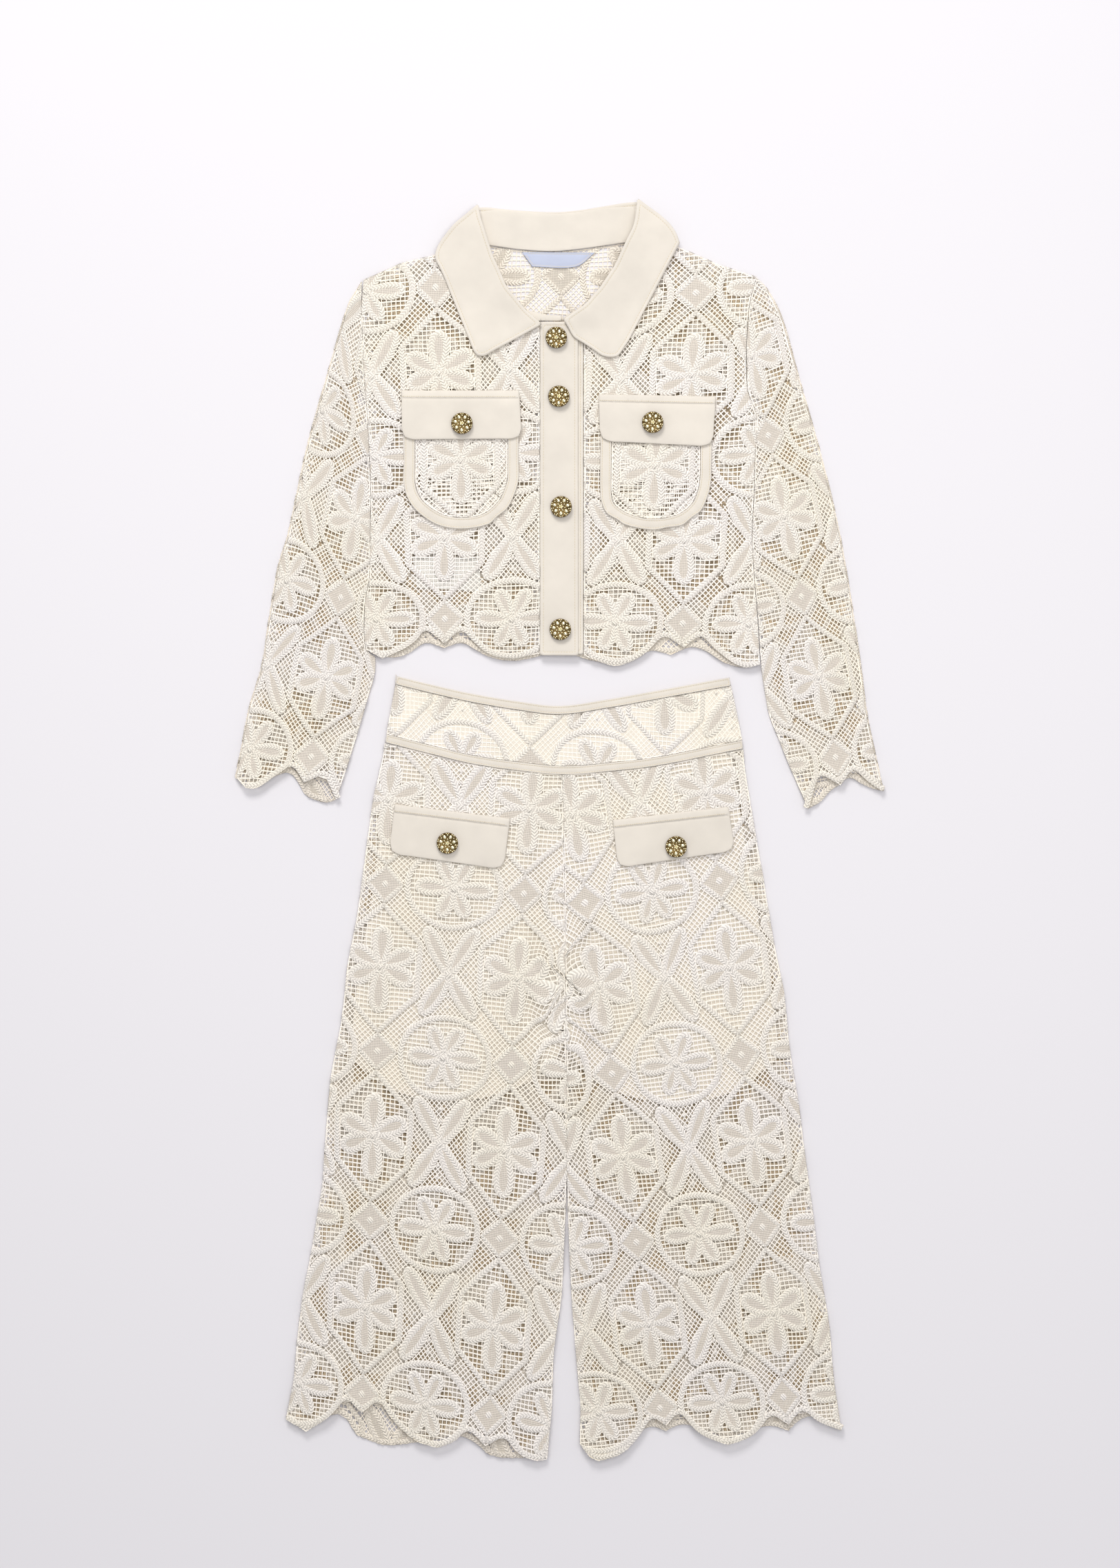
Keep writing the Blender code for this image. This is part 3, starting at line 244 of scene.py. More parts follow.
def eased_outline(loop, step):
    """An outline drawn smoothly through its points, with its real corners kept."""
    n = len(loop)
    before, after = loop - np.roll(loop, 1, 0), np.roll(loop, -1, 0) - loop
    cross = before[:, 0] * after[:, 1] - before[:, 1] * after[:, 0]
    turn = np.degrees(np.arctan2(cross, (before * after).sum(1)))
    tangent = (np.roll(loop, -1, 0) - np.roll(loop, 1, 0)) / 2
    sharp = abs(turn) > CORNER
    out = []
    for i in range(n):
        j = (i + 1) % n
        a, b, size = loop[i], loop[j], np.linalg.norm(loop[j] - loop[i])
        ta, tb = (b - a if sharp[k] else tangent[k] * size / (np.linalg.norm(tangent[k]) + 1e-9)
                  for k in (i, j))
        count = max(1, int(round(size / step)))
        for t in np.arange(count) / count:
            out.append(a * (2 * t ** 3 - 3 * t ** 2 + 1) + ta * (t ** 3 - 2 * t ** 2 + t)
                       + b * (3 * t ** 2 - 2 * t ** 3) + tb * (t ** 3 - t ** 2))
    return np.array(out)


def inward_of(loop):
    """Unit directions into an outline, one for each of its points."""
    forward = np.roll(loop, -1, 0) - np.roll(loop, 1, 0)
    forward /= np.linalg.norm(forward, axis=1)[:, None] + 1e-9
    inward = np.stack([-forward[:, 1], forward[:, 0]], 1)
    return inward if border(loop[:1] + inward[:1] * 0.3, loop)[2][0] else -inward


class Sketch:
    """Flat drawing of raised parts: points, their heights, distances along, and faces by kind."""

    # (place across, height) of a cord, which is two braids side by side, and of a thread, which is one ridge
    TWIN_BRAID = ((-0.5, 0.0), (-0.28, 1.0), (0.0, 0.55), (0.28, 1.0), (0.5, 0.0))
    RIDGE = ((-0.5, 0.0), (0.0, 1.0), (0.5, 0.0))

    def __init__(self):
        self.at, self.up, self.uv, self.quads, self.tris, self.kq, self.kt = [], [], [], [], [], [], []

    def put(self, points, ups, uvs):
        """Adds points and says where the first one went."""
        base = len(self.at)
        self.at += [tuple(p) for p in points]
        self.up += list(ups)
        self.uv += [tuple(p) for p in uvs]
        return base

    def strip(self, path, width, closed, kind, tall):
        """A cord or thread along a path."""
        path = np.asarray(path, float)
        n = len(path)
        tangent = np.roll(path, -1, 0) - np.roll(path, 1, 0) if closed else np.gradient(path, axis=0)
        tangent /= np.linalg.norm(tangent, axis=1)[:, None] + 1e-9
        normal = np.stack([-tangent[:, 1], tangent[:, 0]], 1)
        if closed:
            path, normal = np.vstack([path, path[:1]]), np.vstack([normal, normal[:1]])
            n += 1
        length = np.concatenate([[0], np.cumsum(np.linalg.norm(np.diff(path, axis=0), axis=1))])
        across = self.TWIN_BRAID if kind == CORD else self.RIDGE
        k = len(across)
        base = self.put([path[i] + normal[i] * off * width for i in range(n) for off, up in across],
                        [up * tall for i in range(n) for off, up in across],
                        [(length[i], off * width) for i in range(n) for off, up in across])
        for i in range(n - 1):
            for c in range(k - 1):
                at = base + i * k + c
                self.quads.append((at, at + 1, at + k + 1, at + k))
                self.kq.append(kind)

    def rings(self, loops, ups, tip, tip_up, kind):
        """Closed rings of equal length joined inward to a tip."""
        n = len(loops[0])
        base = self.put([p for ring in loops for p in ring], [u for u in ups for _ in range(n)],
                        [p for ring in loops for p in ring])
        end = self.put([tip], [tip_up], [tip])
        for r in range(len(loops)):
            outer, inner = base + r * n, base + (r + 1) * n
            for i in range(n):
                j = (i + 1) % n
                if r + 1 < len(loops):
                    self.quads.append((outer + i, outer + j, inner + j, inner + i))
                    self.kq.append(kind)
                else:
                    self.tris.append((outer + i, outer + j, end))
                    self.kt.append(kind)

    def leaf(self, cx, cy, tx, ty, width, taper, cord):
        """A leaf from (cx, cy) to its tip, (tx, ty) away: a cord round a domed mesh fill."""
        size = math.hypot(tx, ty)
        turn = np.array([[tx, ty], [-ty, tx]]) / size
        count = 2 * int(round(size * 0.36)) + 4
        t = (np.arange(count) + 0.5) / count * math.tau
        a = 0.5 - 0.5 * np.cos(t)
        side = np.sin(t) * (1 - taper + taper * a)
        root = 1.2
        reach = size - cord * 0.5 - root
        rim = np.stack([root + reach * a, (width - cord) / 2 * side / abs(side).max()], 1)
        mid = (rim * np.array([1.08, 1.0])).mean(0)
        self.strip(rim @ turn + (cx, cy), cord, True, CORD, 1.3)
        self.rings([rim @ turn + (cx, cy), (mid + (rim - mid) * 0.45) @ turn + (cx, cy)], (0.35, 0.55),
                   mid @ turn + (cx, cy), 0.6, FILL)

    def knot(self, cx, cy, radius, tall, foot):
        """A small round boss of cord."""
        turn = np.arange(8) / 8 * math.tau
        ring = np.stack([np.cos(turn), np.sin(turn)], 1) * radius
        self.rings([ring + (cx, cy), ring * 0.7 + (cx, cy)], (foot, foot + tall * 0.75),
                   (cx, cy), foot + tall, CORD)

    def net(self, line, keep, piece, width):
        """A thread along a sampled line where keep(points) holds, in straight pieces of about one length."""
        flags = np.concatenate([[False], keep(line), [False]])
        edges = np.flatnonzero(flags[1:] != flags[:-1])
        for a, b in zip(edges[::2], edges[1::2]):
            run = line[a:b]
            if len(run) > 2:
                count = max(2, int(round(np.linalg.norm(run[-1] - run[0]) / piece)) + 1)
                ends = np.unique(np.linspace(0, len(run) - 1, count).round().astype(int))
                self.strip(run[ends], width, False, THREAD, 0.42)


def polygon_path(corners, step, closed=True):
    """Even points along straight sides."""
    corners = np.asarray(corners, float)
    ends = list(zip(corners, np.roll(corners, -1, 0))) if closed else list(zip(corners, corners[1:]))
    out = []
    for a, b in ends:
        n = max(1, int(round(np.linalg.norm(b - a) / step)))
        out += [a + (b - a) * k / n for k in range(n)]
    return np.array(out if closed else out + [corners[-1]])


PITCH = np.array([119.0, 147.0])    # one repeat of the lace, across and along
HALF_W, HALF_H = PITCH / 2
# A ring is an ellipse, and the other outlines lie round their own centres
HEXAGON = np.array([(32.3, 23.0), (0.0, 55.2), (-32.3, 23.0), (-32.3, -23.0), (0.0, -55.2), (32.3, -23.0)])
DIAMOND = np.array([(17.0, 0.0), (0.0, 17.0), (-17.0, 0.0), (0.0, -17.0)])
RING_X, RING_Y = 39.4, 34.2
CORD_HIGH = 1.35


def in_hexagon(p):
    return border(p, HEXAGON)[2]


def in_ring(p):
    return ((p[:, 0] - HALF_W) / (RING_X - 0.9)) ** 2 + ((p[:, 1] - HALF_H) / (RING_Y - 1.0)) ** 2 < 1.0


def ground(p):
    """Round the X: not in a hexagon, a ring or a diamond."""
    ok = (p[:, 0] > -0.01) & (p[:, 0] < PITCH[0] + 0.01) & (abs(p[:, 1]) < HALF_H + 0.01)
    for ox in (0.0, PITCH[0]):
        ok &= ~in_hexagon(p - (ox, 0))
        for oy in (-HALF_H, HALF_H):
            ok &= ~border(p - (ox, oy), DIAMOND)[2]
    return ok & ~in_ring(p) & ~in_ring(p + (0, PITCH[1]))


def ladder(p):
    """The four bands of the ground beside the slants of the hexagons."""
    x = HALF_W - abs(p[:, 0] - HALF_W)
    y = abs(p[:, 1])
    return ground(p) & ((x - 32.3) * -0.708 + (y - 23.0) * 0.706 > 8.0)


def crossing(angle, pitch, centre, reach):
    """Parallel sampled lines at an angle through a place, each a little uneven as tied threads are."""
    way = np.array([math.cos(angle), math.sin(angle)])
    aside = np.array([-way[1], way[0]])
    s = np.arange(-reach, reach, 1.25)
    n = int(reach / pitch)
    return [np.array(centre) + way * s[:, None] + aside * (k + 0.5) * pitch
            + aside * 0.25 * np.sin(s / 5.0 + k)[:, None] for k in range(-n, n)]


def draw_repeat():
    """One repeat: hexagon and ring with a flower each, the X between them, the dotted diamond, the nets."""
    cell = Sketch()
    cell.strip(polygon_path(HEXAGON, 4.6), 4.9, True, CORD, CORD_HIGH)
    for tip_x, tip_y, wide in ((0, 37.0, 18.5), (0, -39.5, 18.5), (28.5, 15.5, 18), (-28.5, 15.5, 18),
                               (29.0, -12.5, 18), (-29.0, -12.5, 18)):
        cell.leaf(0, 0, tip_x, tip_y, wide, 0.62, 6.2)
    cell.knot(0, 0, 3.0, 1.2, 0.9)
    turns = np.arange(54) / 54 * math.tau
    ring = np.stack([HALF_W + RING_X * np.cos(turns), HALF_H + RING_Y * np.sin(turns)], 1)
    cell.strip(ring, 5.4, True, CORD, CORD_HIGH)
    for tip_x, tip_y, wide in ((33.5, 0, 16), (-33.5, 0, 16), (13.5, 26.5, 15), (-13.5, 26.5, 15),
                               (12.5, -25.5, 15), (-12.5, -25.5, 15)):
        cell.leaf(HALF_W, HALF_H, tip_x, tip_y, wide, 0.62, 5.7)
    cell.knot(HALF_W, HALF_H, 2.8, 1.2, 0.9)
    # The X, with small knots in its four gaps
    for tip_x, tip_y in ((23.6, 39.0), (-23.6, 39.0), (23.6, -39.0), (-23.6, -39.0)):
        cell.leaf(HALF_W, 0, tip_x, tip_y, 16.5, 0.3, 6.0)
    cell.knot(HALF_W, 0, 3.6, 0.8, 0.9)
    for dx, dy in ((0, 19), (0, -19), (15, 0), (-15, 0), (0, 29), (0, -29)):
        cell.knot(HALF_W + dx, dy, 1.7, 0.8, 0.3)
    rim = polygon_path(DIAMOND * 0.92 + (0, HALF_H), 4.4)
    cell.strip(rim, 4.3, True, CORD, 1.25)
    cell.rings([rim, (rim - (0, HALF_H)) * 0.45 + (0, HALF_H)], (0.5, 0.55), (0, HALF_H), 0.6, FILL)
    cell.knot(0, HALF_H, 3.2, 0.9, 0.5)
    # Square net in the motifs, slanted ladders beside the hexagons, and a closer slanted net round the X
    for angle, wide in ((0.0, 1.15), (math.pi / 2, 0.8)):
        for line in crossing(angle, 3.9, (0, 0), 58):
            cell.net(line, in_hexagon, 6.5, wide)
        for line in crossing(angle, 3.9, (HALF_W, HALF_H), 42):
            cell.net(line, in_ring, 6.5, wide)
    for sign in (-1, 1):
        for line in crossing(sign * math.pi / 4, 3.4, (HALF_W, 0), 92):
            cell.net(line, ladder, 6.0, 0.95)
        for line in crossing(sign * 0.86, 3.2, (HALF_W, 0), 64):
            cell.net(line, lambda p: ground(p) & ~ladder(p), 7.0, 0.95)
    return [np.array(v) for v in (cell.at, cell.up, cell.uv, cell.quads, cell.tris, cell.kq, cell.kt)]


REPEAT = draw_repeat()


def lattice(rows):
    """Fits where the repeat lies from motif centres: rows of (across, along, x, y) in repeats and mm."""
    rows = np.array(rows, float)

    def basis(u, v):
        cols = [np.ones_like(u), u, v]
        if len(rows) >= 6:
            cols += [u * v]
        if len(rows) >= 8:
            cols += [v * v]
        return np.stack(cols, 1)
    fit = np.linalg.lstsq(basis(rows[:, 0], rows[:, 1]), rows[:, 2:4], rcond=None)[0]
    return lambda p: basis(p[:, 0], p[:, 1]) @ fit


def sheet_mesh(loop, step, rings=(), extra=None):
    """Points and triangles that fill an outline, with rows of points at set distances inside it."""
    n = len(loop)
    points, inward = [loop], inward_of(loop)
    for reach in rings:
        ring = loop + inward * reach
        d, _, ok = border(ring, loop)
        points.append(ring[ok & (d > reach * 0.85)])
    (left, low), (right, high) = loop.min(0), loop.max(0)
    grid = np.array([(x + (step / 2) * (j % 2), y) for j, y in enumerate(np.arange(low, high, step))
                     for x in np.arange(left, right, step)])
    d, _, ok = border(grid, loop)
    points.append(grid[ok & (d > max(rings, default=0.0) + step * 0.4)])
    if extra is not None:
        d, _, ok = border(extra, loop)
        points.append(extra[ok & (d > 0.3)])
    sides = [(i, (i + 1) % n) for i in range(n)]
    got = delaunay_2d_cdt([Vector(p) for p in np.concatenate(points)], sides, [], 0, 1e-5)
    co = np.array([(v.x, v.y) for v in got[0]])
    faces = np.array([f for f in got[2] if len(f) == 3])
    faces = faces[border(co[faces].mean(1), loop)[2]]
    one, two = co[faces[:, 1]] - co[faces[:, 0]], co[faces[:, 2]] - co[faces[:, 0]]
    turn = one[:, 0] * two[:, 1] - one[:, 1] * two[:, 0] < 0
    faces[turn] = faces[turn][:, ::-1]
    return co, faces


def area_of(loop):
    """Square metres inside an outline in millimetres."""
    x, y = loop[:, 0], loop[:, 1]
    return abs(np.sum(x * np.roll(y, -1) - np.roll(x, -1) * y)) / 2e6


def run_between(loop, a, b):
    """The part of an outline between two places that has the lower y, sampled and eased."""
    i = int(np.argmin(np.linalg.norm(loop - a, axis=1)))
    j = int(np.argmin(np.linalg.norm(loop - b, axis=1)))
    one = loop[i:j + 1] if i <= j else np.concatenate([loop[i:], loop[:j + 1]])
    two = (loop[j:i + 1] if j <= i else np.concatenate([loop[j:], loop[:i + 1]]))[::-1]
    out = polygon_path(one if one[:, 1].mean() < two[:, 1].mean() else two, 4.0, closed=False)
    for _ in range(2):
        out[1:-1] = (out[:-2] + 2 * out[1:-1] + out[2:]) / 4
    return out


def tiled(loop, place):
    """The copies of the repeat that reach an outline, as one drawing."""
    at, up, uv, quads, tris, quad_kind, tri_kind = REPEAT
    piles = [[] for _ in REPEAT]
    for i in range(-4, 5):
        for j in range(-5, 6):
            d, _, inside = border(place(np.array([[i + 0.25, j + 0.25]])), loop)
            if not inside[0] and d[0] > PITCH[0] - 4.0:
                continue
            base = len(at) * len(piles[0])
            for pile, part in zip(piles, (place(at / PITCH + (i, j)), up, uv, quads + base, tris + base,
                                          quad_kind, tri_kind)):
                pile.append(part)
    return [np.concatenate(pile) for pile in piles]


def lay_lace(name, node, sheet, rows, mats, hem=None, lift=0.6, folds=(), under=(), pull=None):
    """The repeat laid on one sheet of a CAD node, cut at its outline, with a cord along its hem.

    hem is the two ends of the hem, lift the lace's height over the sheet, and pull moves points.
    under lists the (node, sheet) that hide this one: there its ground is one plain mesh sheet in a brown
    material, painted shade for the dark between the layers, with the net drawn in it."""
    skin = skins(node)[sheet]
    loop, height = eased_outline(skin["outline"], 5.0), bed(skin)
    covers = [skins(other)[k]["outline"] for other, k in under]

    def hidden(p, margin):
        out = np.zeros(len(p), bool)
        for cover in covers:
            d, _, inside = border(p, cover)
            out |= inside & (d > margin)
        return out
    at, up, along, quads, tris, quad_kind, tri_kind = tiled(loop, lattice(rows))
    at += np.stack([ripple(at, 31.0, 1.0), ripple(at, 27.0, 5.0)], 1) * 1.1
    if pull is not None:
        at += pull(at)
    # Cut: what lies outside is drawn in to the outline, and faces with no point inside go
    near, inside = at.copy(), np.zeros(len(at), bool)
    box = (at > loop.min(0) - 8).all(1) & (at < loop.max(0) + 8).all(1)
    _, near[box], inside[box] = border(at[box], loop)
    away = at - near
    drawn_in = near + away * 0.2 / (np.linalg.norm(away, axis=1)[:, None] + 1e-9)
    at = np.where(inside[:, None], at, drawn_in)
    keep_quad, keep_tri = inside[quads].any(1), inside[tris].any(1)
    if covers:
        threads = np.flatnonzero(keep_quad & (quad_kind == THREAD))
        keep_quad[threads] = ~hidden(at[quads[threads]].mean(1), 9.0)
    quads, tris = quads[keep_quad], tris[keep_tri]
    used = np.unique(np.concatenate([quads.ravel(), tris.ravel()]))
    new = np.zeros(len(at), int)
    new[used] = np.arange(len(used))
    at, up, along = at[used], up[used], along[used]
    faces = new[quads].tolist() + new[tris].tolist()
    kinds = quad_kind[keep_quad].tolist() + tri_kind[keep_tri].tolist()
    edge = Sketch()
    if hem is not None:
        run = run_between(loop, np.array(hem[0]), np.array(hem[1]))
        side = np.gradient(run, axis=0)
        side /= np.linalg.norm(side, axis=1)[:, None]
        normal = np.stack([-side[:, 1], side[:, 0]], 1)
        middle = len(run) // 2
        if not border(run[middle:middle + 1] + normal[middle] * 3, loop)[2][0]:
            normal = -normal
        edge.strip(run + normal * 2.2, 4.6, False, CORD, 1.3)
    edge.strip(loop + inward_of(loop) * 0.5, 0.9, True, THREAD, 0.1)
    faces += (np.array(edge.quads) + len(at)).tolist()
    kinds += edge.kq
    at, up = np.concatenate([at, edge.at]), np.concatenate([up, edge.up])
    along = np.concatenate([along, edge.uv])
    if covers:
        # Painted shade: where the front covers it, the ground is one plain sheet in the brown net material,
        # standing in for the dark between the layers
        co, plain = sheet_mesh(eased_outline(skin["outline"], 7.0), 7.0)
        plain = plain[hidden(co[plain].mean(1), 5.0)]
        seen = np.unique(plain)
        plain, co = np.searchsorted(seen, plain), co[seen]
        faces += (plain + len(at)).tolist()
        kinds += [PAINTED_SHADE_SHEET] * len(plain)
        at, along = np.concatenate([at, co]), np.concatenate([along, co])
        up = np.concatenate([up, np.full(len(co), 0.12)])
    ease = np.clip(border(at, loop)[0] / 20.0, 0, 1)
    z = height(at) + lift + up + (creases(at, folds) + 0.35 * ripple(at, 24.0, 2.0)) * ease
    obj = make(name, np.column_stack([at, z]), faces, along, mats, kinds)
    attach(obj, "root")
    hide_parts(node)
    size = (loop.max(0) - loop.min(0)) / 1000.0
    surface = sum(f.area for f in obj.data.polygons)
    flat = min(size[0] * size[1] * 0.999, max(area_of(loop), surface / 1.5))


def crossed(add, axes, pitch, way):
    """Two crossed waves of thread in one pattern."""
    waves = []
    for axis in axes:
        scaled = add("ShaderNodeMath", {0: axis}, operation="MULTIPLY", _1=math.tau / pitch)
        waves.append(add("ShaderNodeMath", {0: scaled.outputs[0]}, operation="SINE"))
    return add("ShaderNodeMath", {0: waves[0].outputs[0], 1: waves[1].outputs[0]}, operation=way)


def lace_finish(tag, warm, cool, leaf, hole_shade):
    """Bleached cotton cord, leaf mesh, thread and hidden net: matte, cream drifting to a cooler white.

    The stitches are lower pits painted darker, as painted shade in the hollows, drawn 2.9 to 3.6 mm apart so
    that they show."""
    out = []
    for part, first, second, dark, light, begin, end, relief in (
            ("cord", warm, cool, 0.76, 1.0, -1.0, 0.5, 0.8),
            ("leaf", leaf, leaf, 0.66, 1.0, -1.0, 0.5, 0.7),
            ("thread", warm, cool, 0.92, 1.0, -1.0, 0.5, 0.3),
            # The hidden net is a brown sheet of painted shade, with lighter threads drawn in it
            ("net", hole_shade, hole_shade, 0.72, 1.25, 0.6, 0.95, 0.3)):
        mat, add = material("cotton_lace_%s_%s" % (tag, part))
        place = add("ShaderNodeTexCoord")
        drift = add("ShaderNodeTexNoise", {"Vector": place.outputs["Object"]}, Scale=11.0, Detail=2.0)
        tone = add("ShaderNodeMapRange", {"Value": drift.outputs["Fac"]}, From_Min=0.38, From_Max=0.62)
        base = add("ShaderNodeMix", {"Factor": tone.outputs["Result"]}, data_type="RGBA",
                   _6=hex_colour(first), _7=hex_colour(second))
        speck = add("ShaderNodeTexNoise", {"Vector": place.outputs["Object"]}, Scale=520.0, Detail=1.0)
        split = add("ShaderNodeSeparateXYZ", {"Vector": add("ShaderNodeUVMap", uv_map="along").outputs["UV"]})
        if part == "cord":
            # Herringbone: slanted stitches that meet along the middle of the cord
            lean = add("ShaderNodeMath", {0: split.outputs["Y"]}, operation="ABSOLUTE")
            slant = add("ShaderNodeMath", {0: split.outputs["X"], 1: lean.outputs[0]}, operation="ADD")
            wave = add("ShaderNodeMath", {0: slant.outputs[0]}, operation="MULTIPLY", _1=math.tau / 0.0029)
            stitch = add("ShaderNodeMath", {0: wave.outputs[0]}, operation="SINE")
        else:
            # Slanted in a leaf, square in the nets
            axes = [split.outputs["X"], split.outputs["Y"]]
            if part == "leaf":
                axes = [add("ShaderNodeMath", {0: axes[0], 1: axes[1]}, operation=way).outputs[0]
                        for way in ("ADD", "SUBTRACT")]
            pitch, way = (0.0036, "MAXIMUM") if part == "net" else (0.0030, "MULTIPLY")
            stitch = crossed(add, axes, pitch, way)
        # Painted shade: the stitch pits and mesh gaps are darkened in the colour, on the same waves as the
        # bump
        pit_shade = add("ShaderNodeMapRange", {"Value": stitch.outputs[0]}, From_Min=begin, From_Max=end,
                   To_Min=dark, To_Max=light)
        fleck = add("ShaderNodeMapRange", {"Value": speck.outputs["Fac"]}, From_Min=0.3, From_Max=0.7,
                    To_Min=0.93, To_Max=1.02)
        both = add("ShaderNodeMath", {0: fleck.outputs["Result"], 1: pit_shade.outputs["Result"]},
                   operation="MULTIPLY")
        shaded = add("ShaderNodeMix", {6: base.outputs[2], 7: both.outputs[0]}, data_type="RGBA",
                     blend_type="MULTIPLY", _0=1.0)
        bump = add("ShaderNodeBump", {"Height": stitch.outputs[0]}, Strength=relief, Distance=0.0004)
        shader = add("ShaderNodeBsdfPrincipled",
                     {"Base Color": shaded.outputs[2], "Normal": bump.outputs["Normal"]},
                     Roughness=0.92, Sheen_Weight=0.12, Specular_IOR_Level=0.2)
        add("ShaderNodeOutputMaterial", {"Surface": shader.outputs[0]})
        out.append(mat)
    return out


# The lace that lies under other lace is painted darker and warmer than the face lace: painted shade, for the
# shadow of the layer above it
face_lace = lace_finish("face", "FFF8EA", "FFF9F3", "E9E0D4", "E4D8C0")
back_lace = lace_finish("back", "FCF3E4", "F6EDE0", "E2D9CB", "C6B499")


def shift(rows, dx, dy):
    """The same lace, moved on its panel."""
    return tuple((u, v, x + dx, y + dy) for u, v, x, y in rows)


# (across, along, x, y): where the repeat falls, in repeats and millimetres
BACK = ((0, 0, 0.6, 409.0), (1, 0, 118.6, 407.0), (0, -1, 0.6, 262.0), (1, -1, 118.6, 260.0))
lay_lace("jacket_back_lace", "jacket_back", 0, BACK, back_lace, ((-172.0, 145.0), (172.0, 145.0)), 0.2,
         under=(("jacket_front_right", 0), ("jacket_front_left", 0)))

# Jacket fronts and sleeves
# The same lace over the back, cut so that its flowers don't match across the front. A sleeve is folded
# along its outer edge, so it has a lower and an upper layer.

FRONT_RIGHT = ((0, 0, -100.2, 253.9), (0, 1, -102.6, 399.1), (0, 1.5, -108.0, 471.7), (0, 0.5, -101.4, 326.5),
               (0, -0.5, -99.6, 181.9), (-0.5, -0.5, -158.6, 184.3), (0.5, -0.5, -40.8, 186.7),
               (0.5, 0.5, -40.8, 329.5), (0.5, 0, -41.4, 253.3), (-0.5, 0, -159.0, 253.3))
FRONT_LEFT = ((0, 0, 110.8, 253.9), (0, 1, 114.9, 394.0), (0, 1.5, 118.8, 469.9), (0, -0.5, 108.4, 179.8),
              (-0.5, -0.5, 48.0, 180.7), (0.5, -0.5, 165.0, 178.9), (-0.5, 0, 50.4, 251.5))
SLEEVE_RIGHT = ((0, 0, -202.3, 133.9), (0, 1, -177.0, 271.3), (0, 0.5, -191.4, 202.3),
                (0, -0.5, -216.1, 63.3), (-0.5, 1.5, -205.8, 364.3), (-0.5, 0.5, -239.4, 216.7),
                (-0.5, -0.5, -268.4, 70.5))
SLEEVE_LEFT = ((0, 0, 226.0, 133.5), (0, 1, 196.8, 272.5), (0, 1.5, 181.2, 342.7), (0, 0.5, 212.5, 205.1),
               (0, -0.5, 239.4, 61.9), (0.5, 0.5, 261.5, 215.0), (0.5, -0.5, 291.5, 72.0))
LEG_RIGHT = ((0, 0, -36.0, -128.9), (0, 1, -25.8, 18.7), (0, -1, -46.2, -280.7), (0, -2, -57.6, -429.5),
             (-1, 0, -156.6, -119.9), (-1, -2, -167.4, -415.7), (0, 0.5, -31.8, -55.1),
             (0, -0.5, -41.9, -204.9), (0, -1.5, -51.6, -354.5), (0, -2.5, -62.6, -514.1),
             (-1, 0.5, -150.1, -44.9), (-1, -0.5, -159.4, -192.4), (-1, -2.5, -171.0, -486.9),
             (-0.5, 0.5, -91.6, -51.7), (-0.5, -0.5, -99.0, -198.2), (-0.5, -1.5, -109.2, -346.7),
             (-0.5, -2.5, -116.4, -496.7), (-1.5, -2.5, -227.4, -484.1))
LEG_LEFT = ((0, 0, 56.4, -290.3), (0, 1, 36.6, -138.5), (0, 2, 11.4, 13.3), (0, -1, 76.2, -427.7),
            (1, 0, 169.8, -269.9), (1, -1, 187.8, -421.7), (0, 1.5, 22.6, -61.4), (0, 0.5, 48.8, -206.6),
            (0, -0.5, 64.6, -355.3), (0, -1.5, 89.4, -496.6), (1, -0.5, 178.2, -344.9),
            (1, -1.5, 196.7, -495.7), (0.5, 1.5, 79.8, -53.1), (0.5, 0.5, 101.6, -203.9),
            (0.5, -0.5, 119.1, -350.1), (0.5, -1.5, 138.6, -497.3), (-0.5, -1.5, 36.0, -512.0),
            (0.5, 0, 110.4, -278.3))
# Soft folds: (x, y, x, y, width, height)
JACKET_FOLDS = ((-150.0, 352.0, -110.0, 427.0, 11.0, 0.5), (150.0, 357.0, 112.0, 432.0, 11.0, 0.5),
                (-60.0, 237.0, -52.0, 174.0, 9.0, 0.5), (58.0, 232.0, 74.0, 178.0, 9.0, 0.5))
for side, rows, sign in (("right", FRONT_RIGHT, -1), ("left", FRONT_LEFT, 1)):
    lay_lace("jacket_front_%s_lace" % side, "jacket_front_" + side, 0, rows, face_lace,
             ((sign * 168.0, 148.0), (sign * 18.0, 138.0)), folds=JACKET_FOLDS)
for side, rows, sign in (("right", SLEEVE_RIGHT, -1), ("left", SLEEVE_LEFT, 1)):
    cuff = ((sign * 282.0, 20.0), (sign * 205.0, 5.0))
    lay_lace("sleeve_%s_under_lace" % side, "sleeve_" + side, 0, shift(rows, sign * 31.0, 17.0), back_lace,
             cuff, 0.2, under=(("sleeve_" + side, 2),))
    lay_lace("sleeve_%s_lace" % side, "sleeve_" + side, 2, rows, face_lace, cuff)

# Trouser legs and waistband
# Lace legs over the cotton lining, crumpled where the legs join, and a laced yoke between two bindings.

CRUMPLE = ((-22.0, -16.0, -10.0, -70.0, 7.0, 1.2), (24.0, -76.0, 14.0, -120.0, 6.0, 2.6),
           (-24.0, -80.0, -14.0, -118.0, 5.0, 2.2), (16.0, -128.0, 30.0, -172.0, 6.0, 2.6),
           (-26.0, -126.0, -13.0, -164.0, 6.0, 2.4), (44.0, -96.0, 38.0, -150.0, 7.0, 1.4),
           (26.0, -178.0, 14.0, -206.0, 5.0, 2.2), (-34.0, -172.0, -16.0, -206.0, 6.0, 2.0),
           (-46.0, -96.0, -38.0, -148.0, 7.0, 1.3))


def gather(p):
    """The lace is pushed up in small folds where the legs join."""
    x, y = p[:, 0], p[:, 1]
    near = np.exp(-(((x - 4.0) / 24.0) ** 2 + ((y + 138.0) / 66.0) ** 2))
    return np.stack([np.sin(y / 8.0) * 7.0, np.sin(x / 6.0 + y / 13.0) * 5.5], 1) * near[:, None]


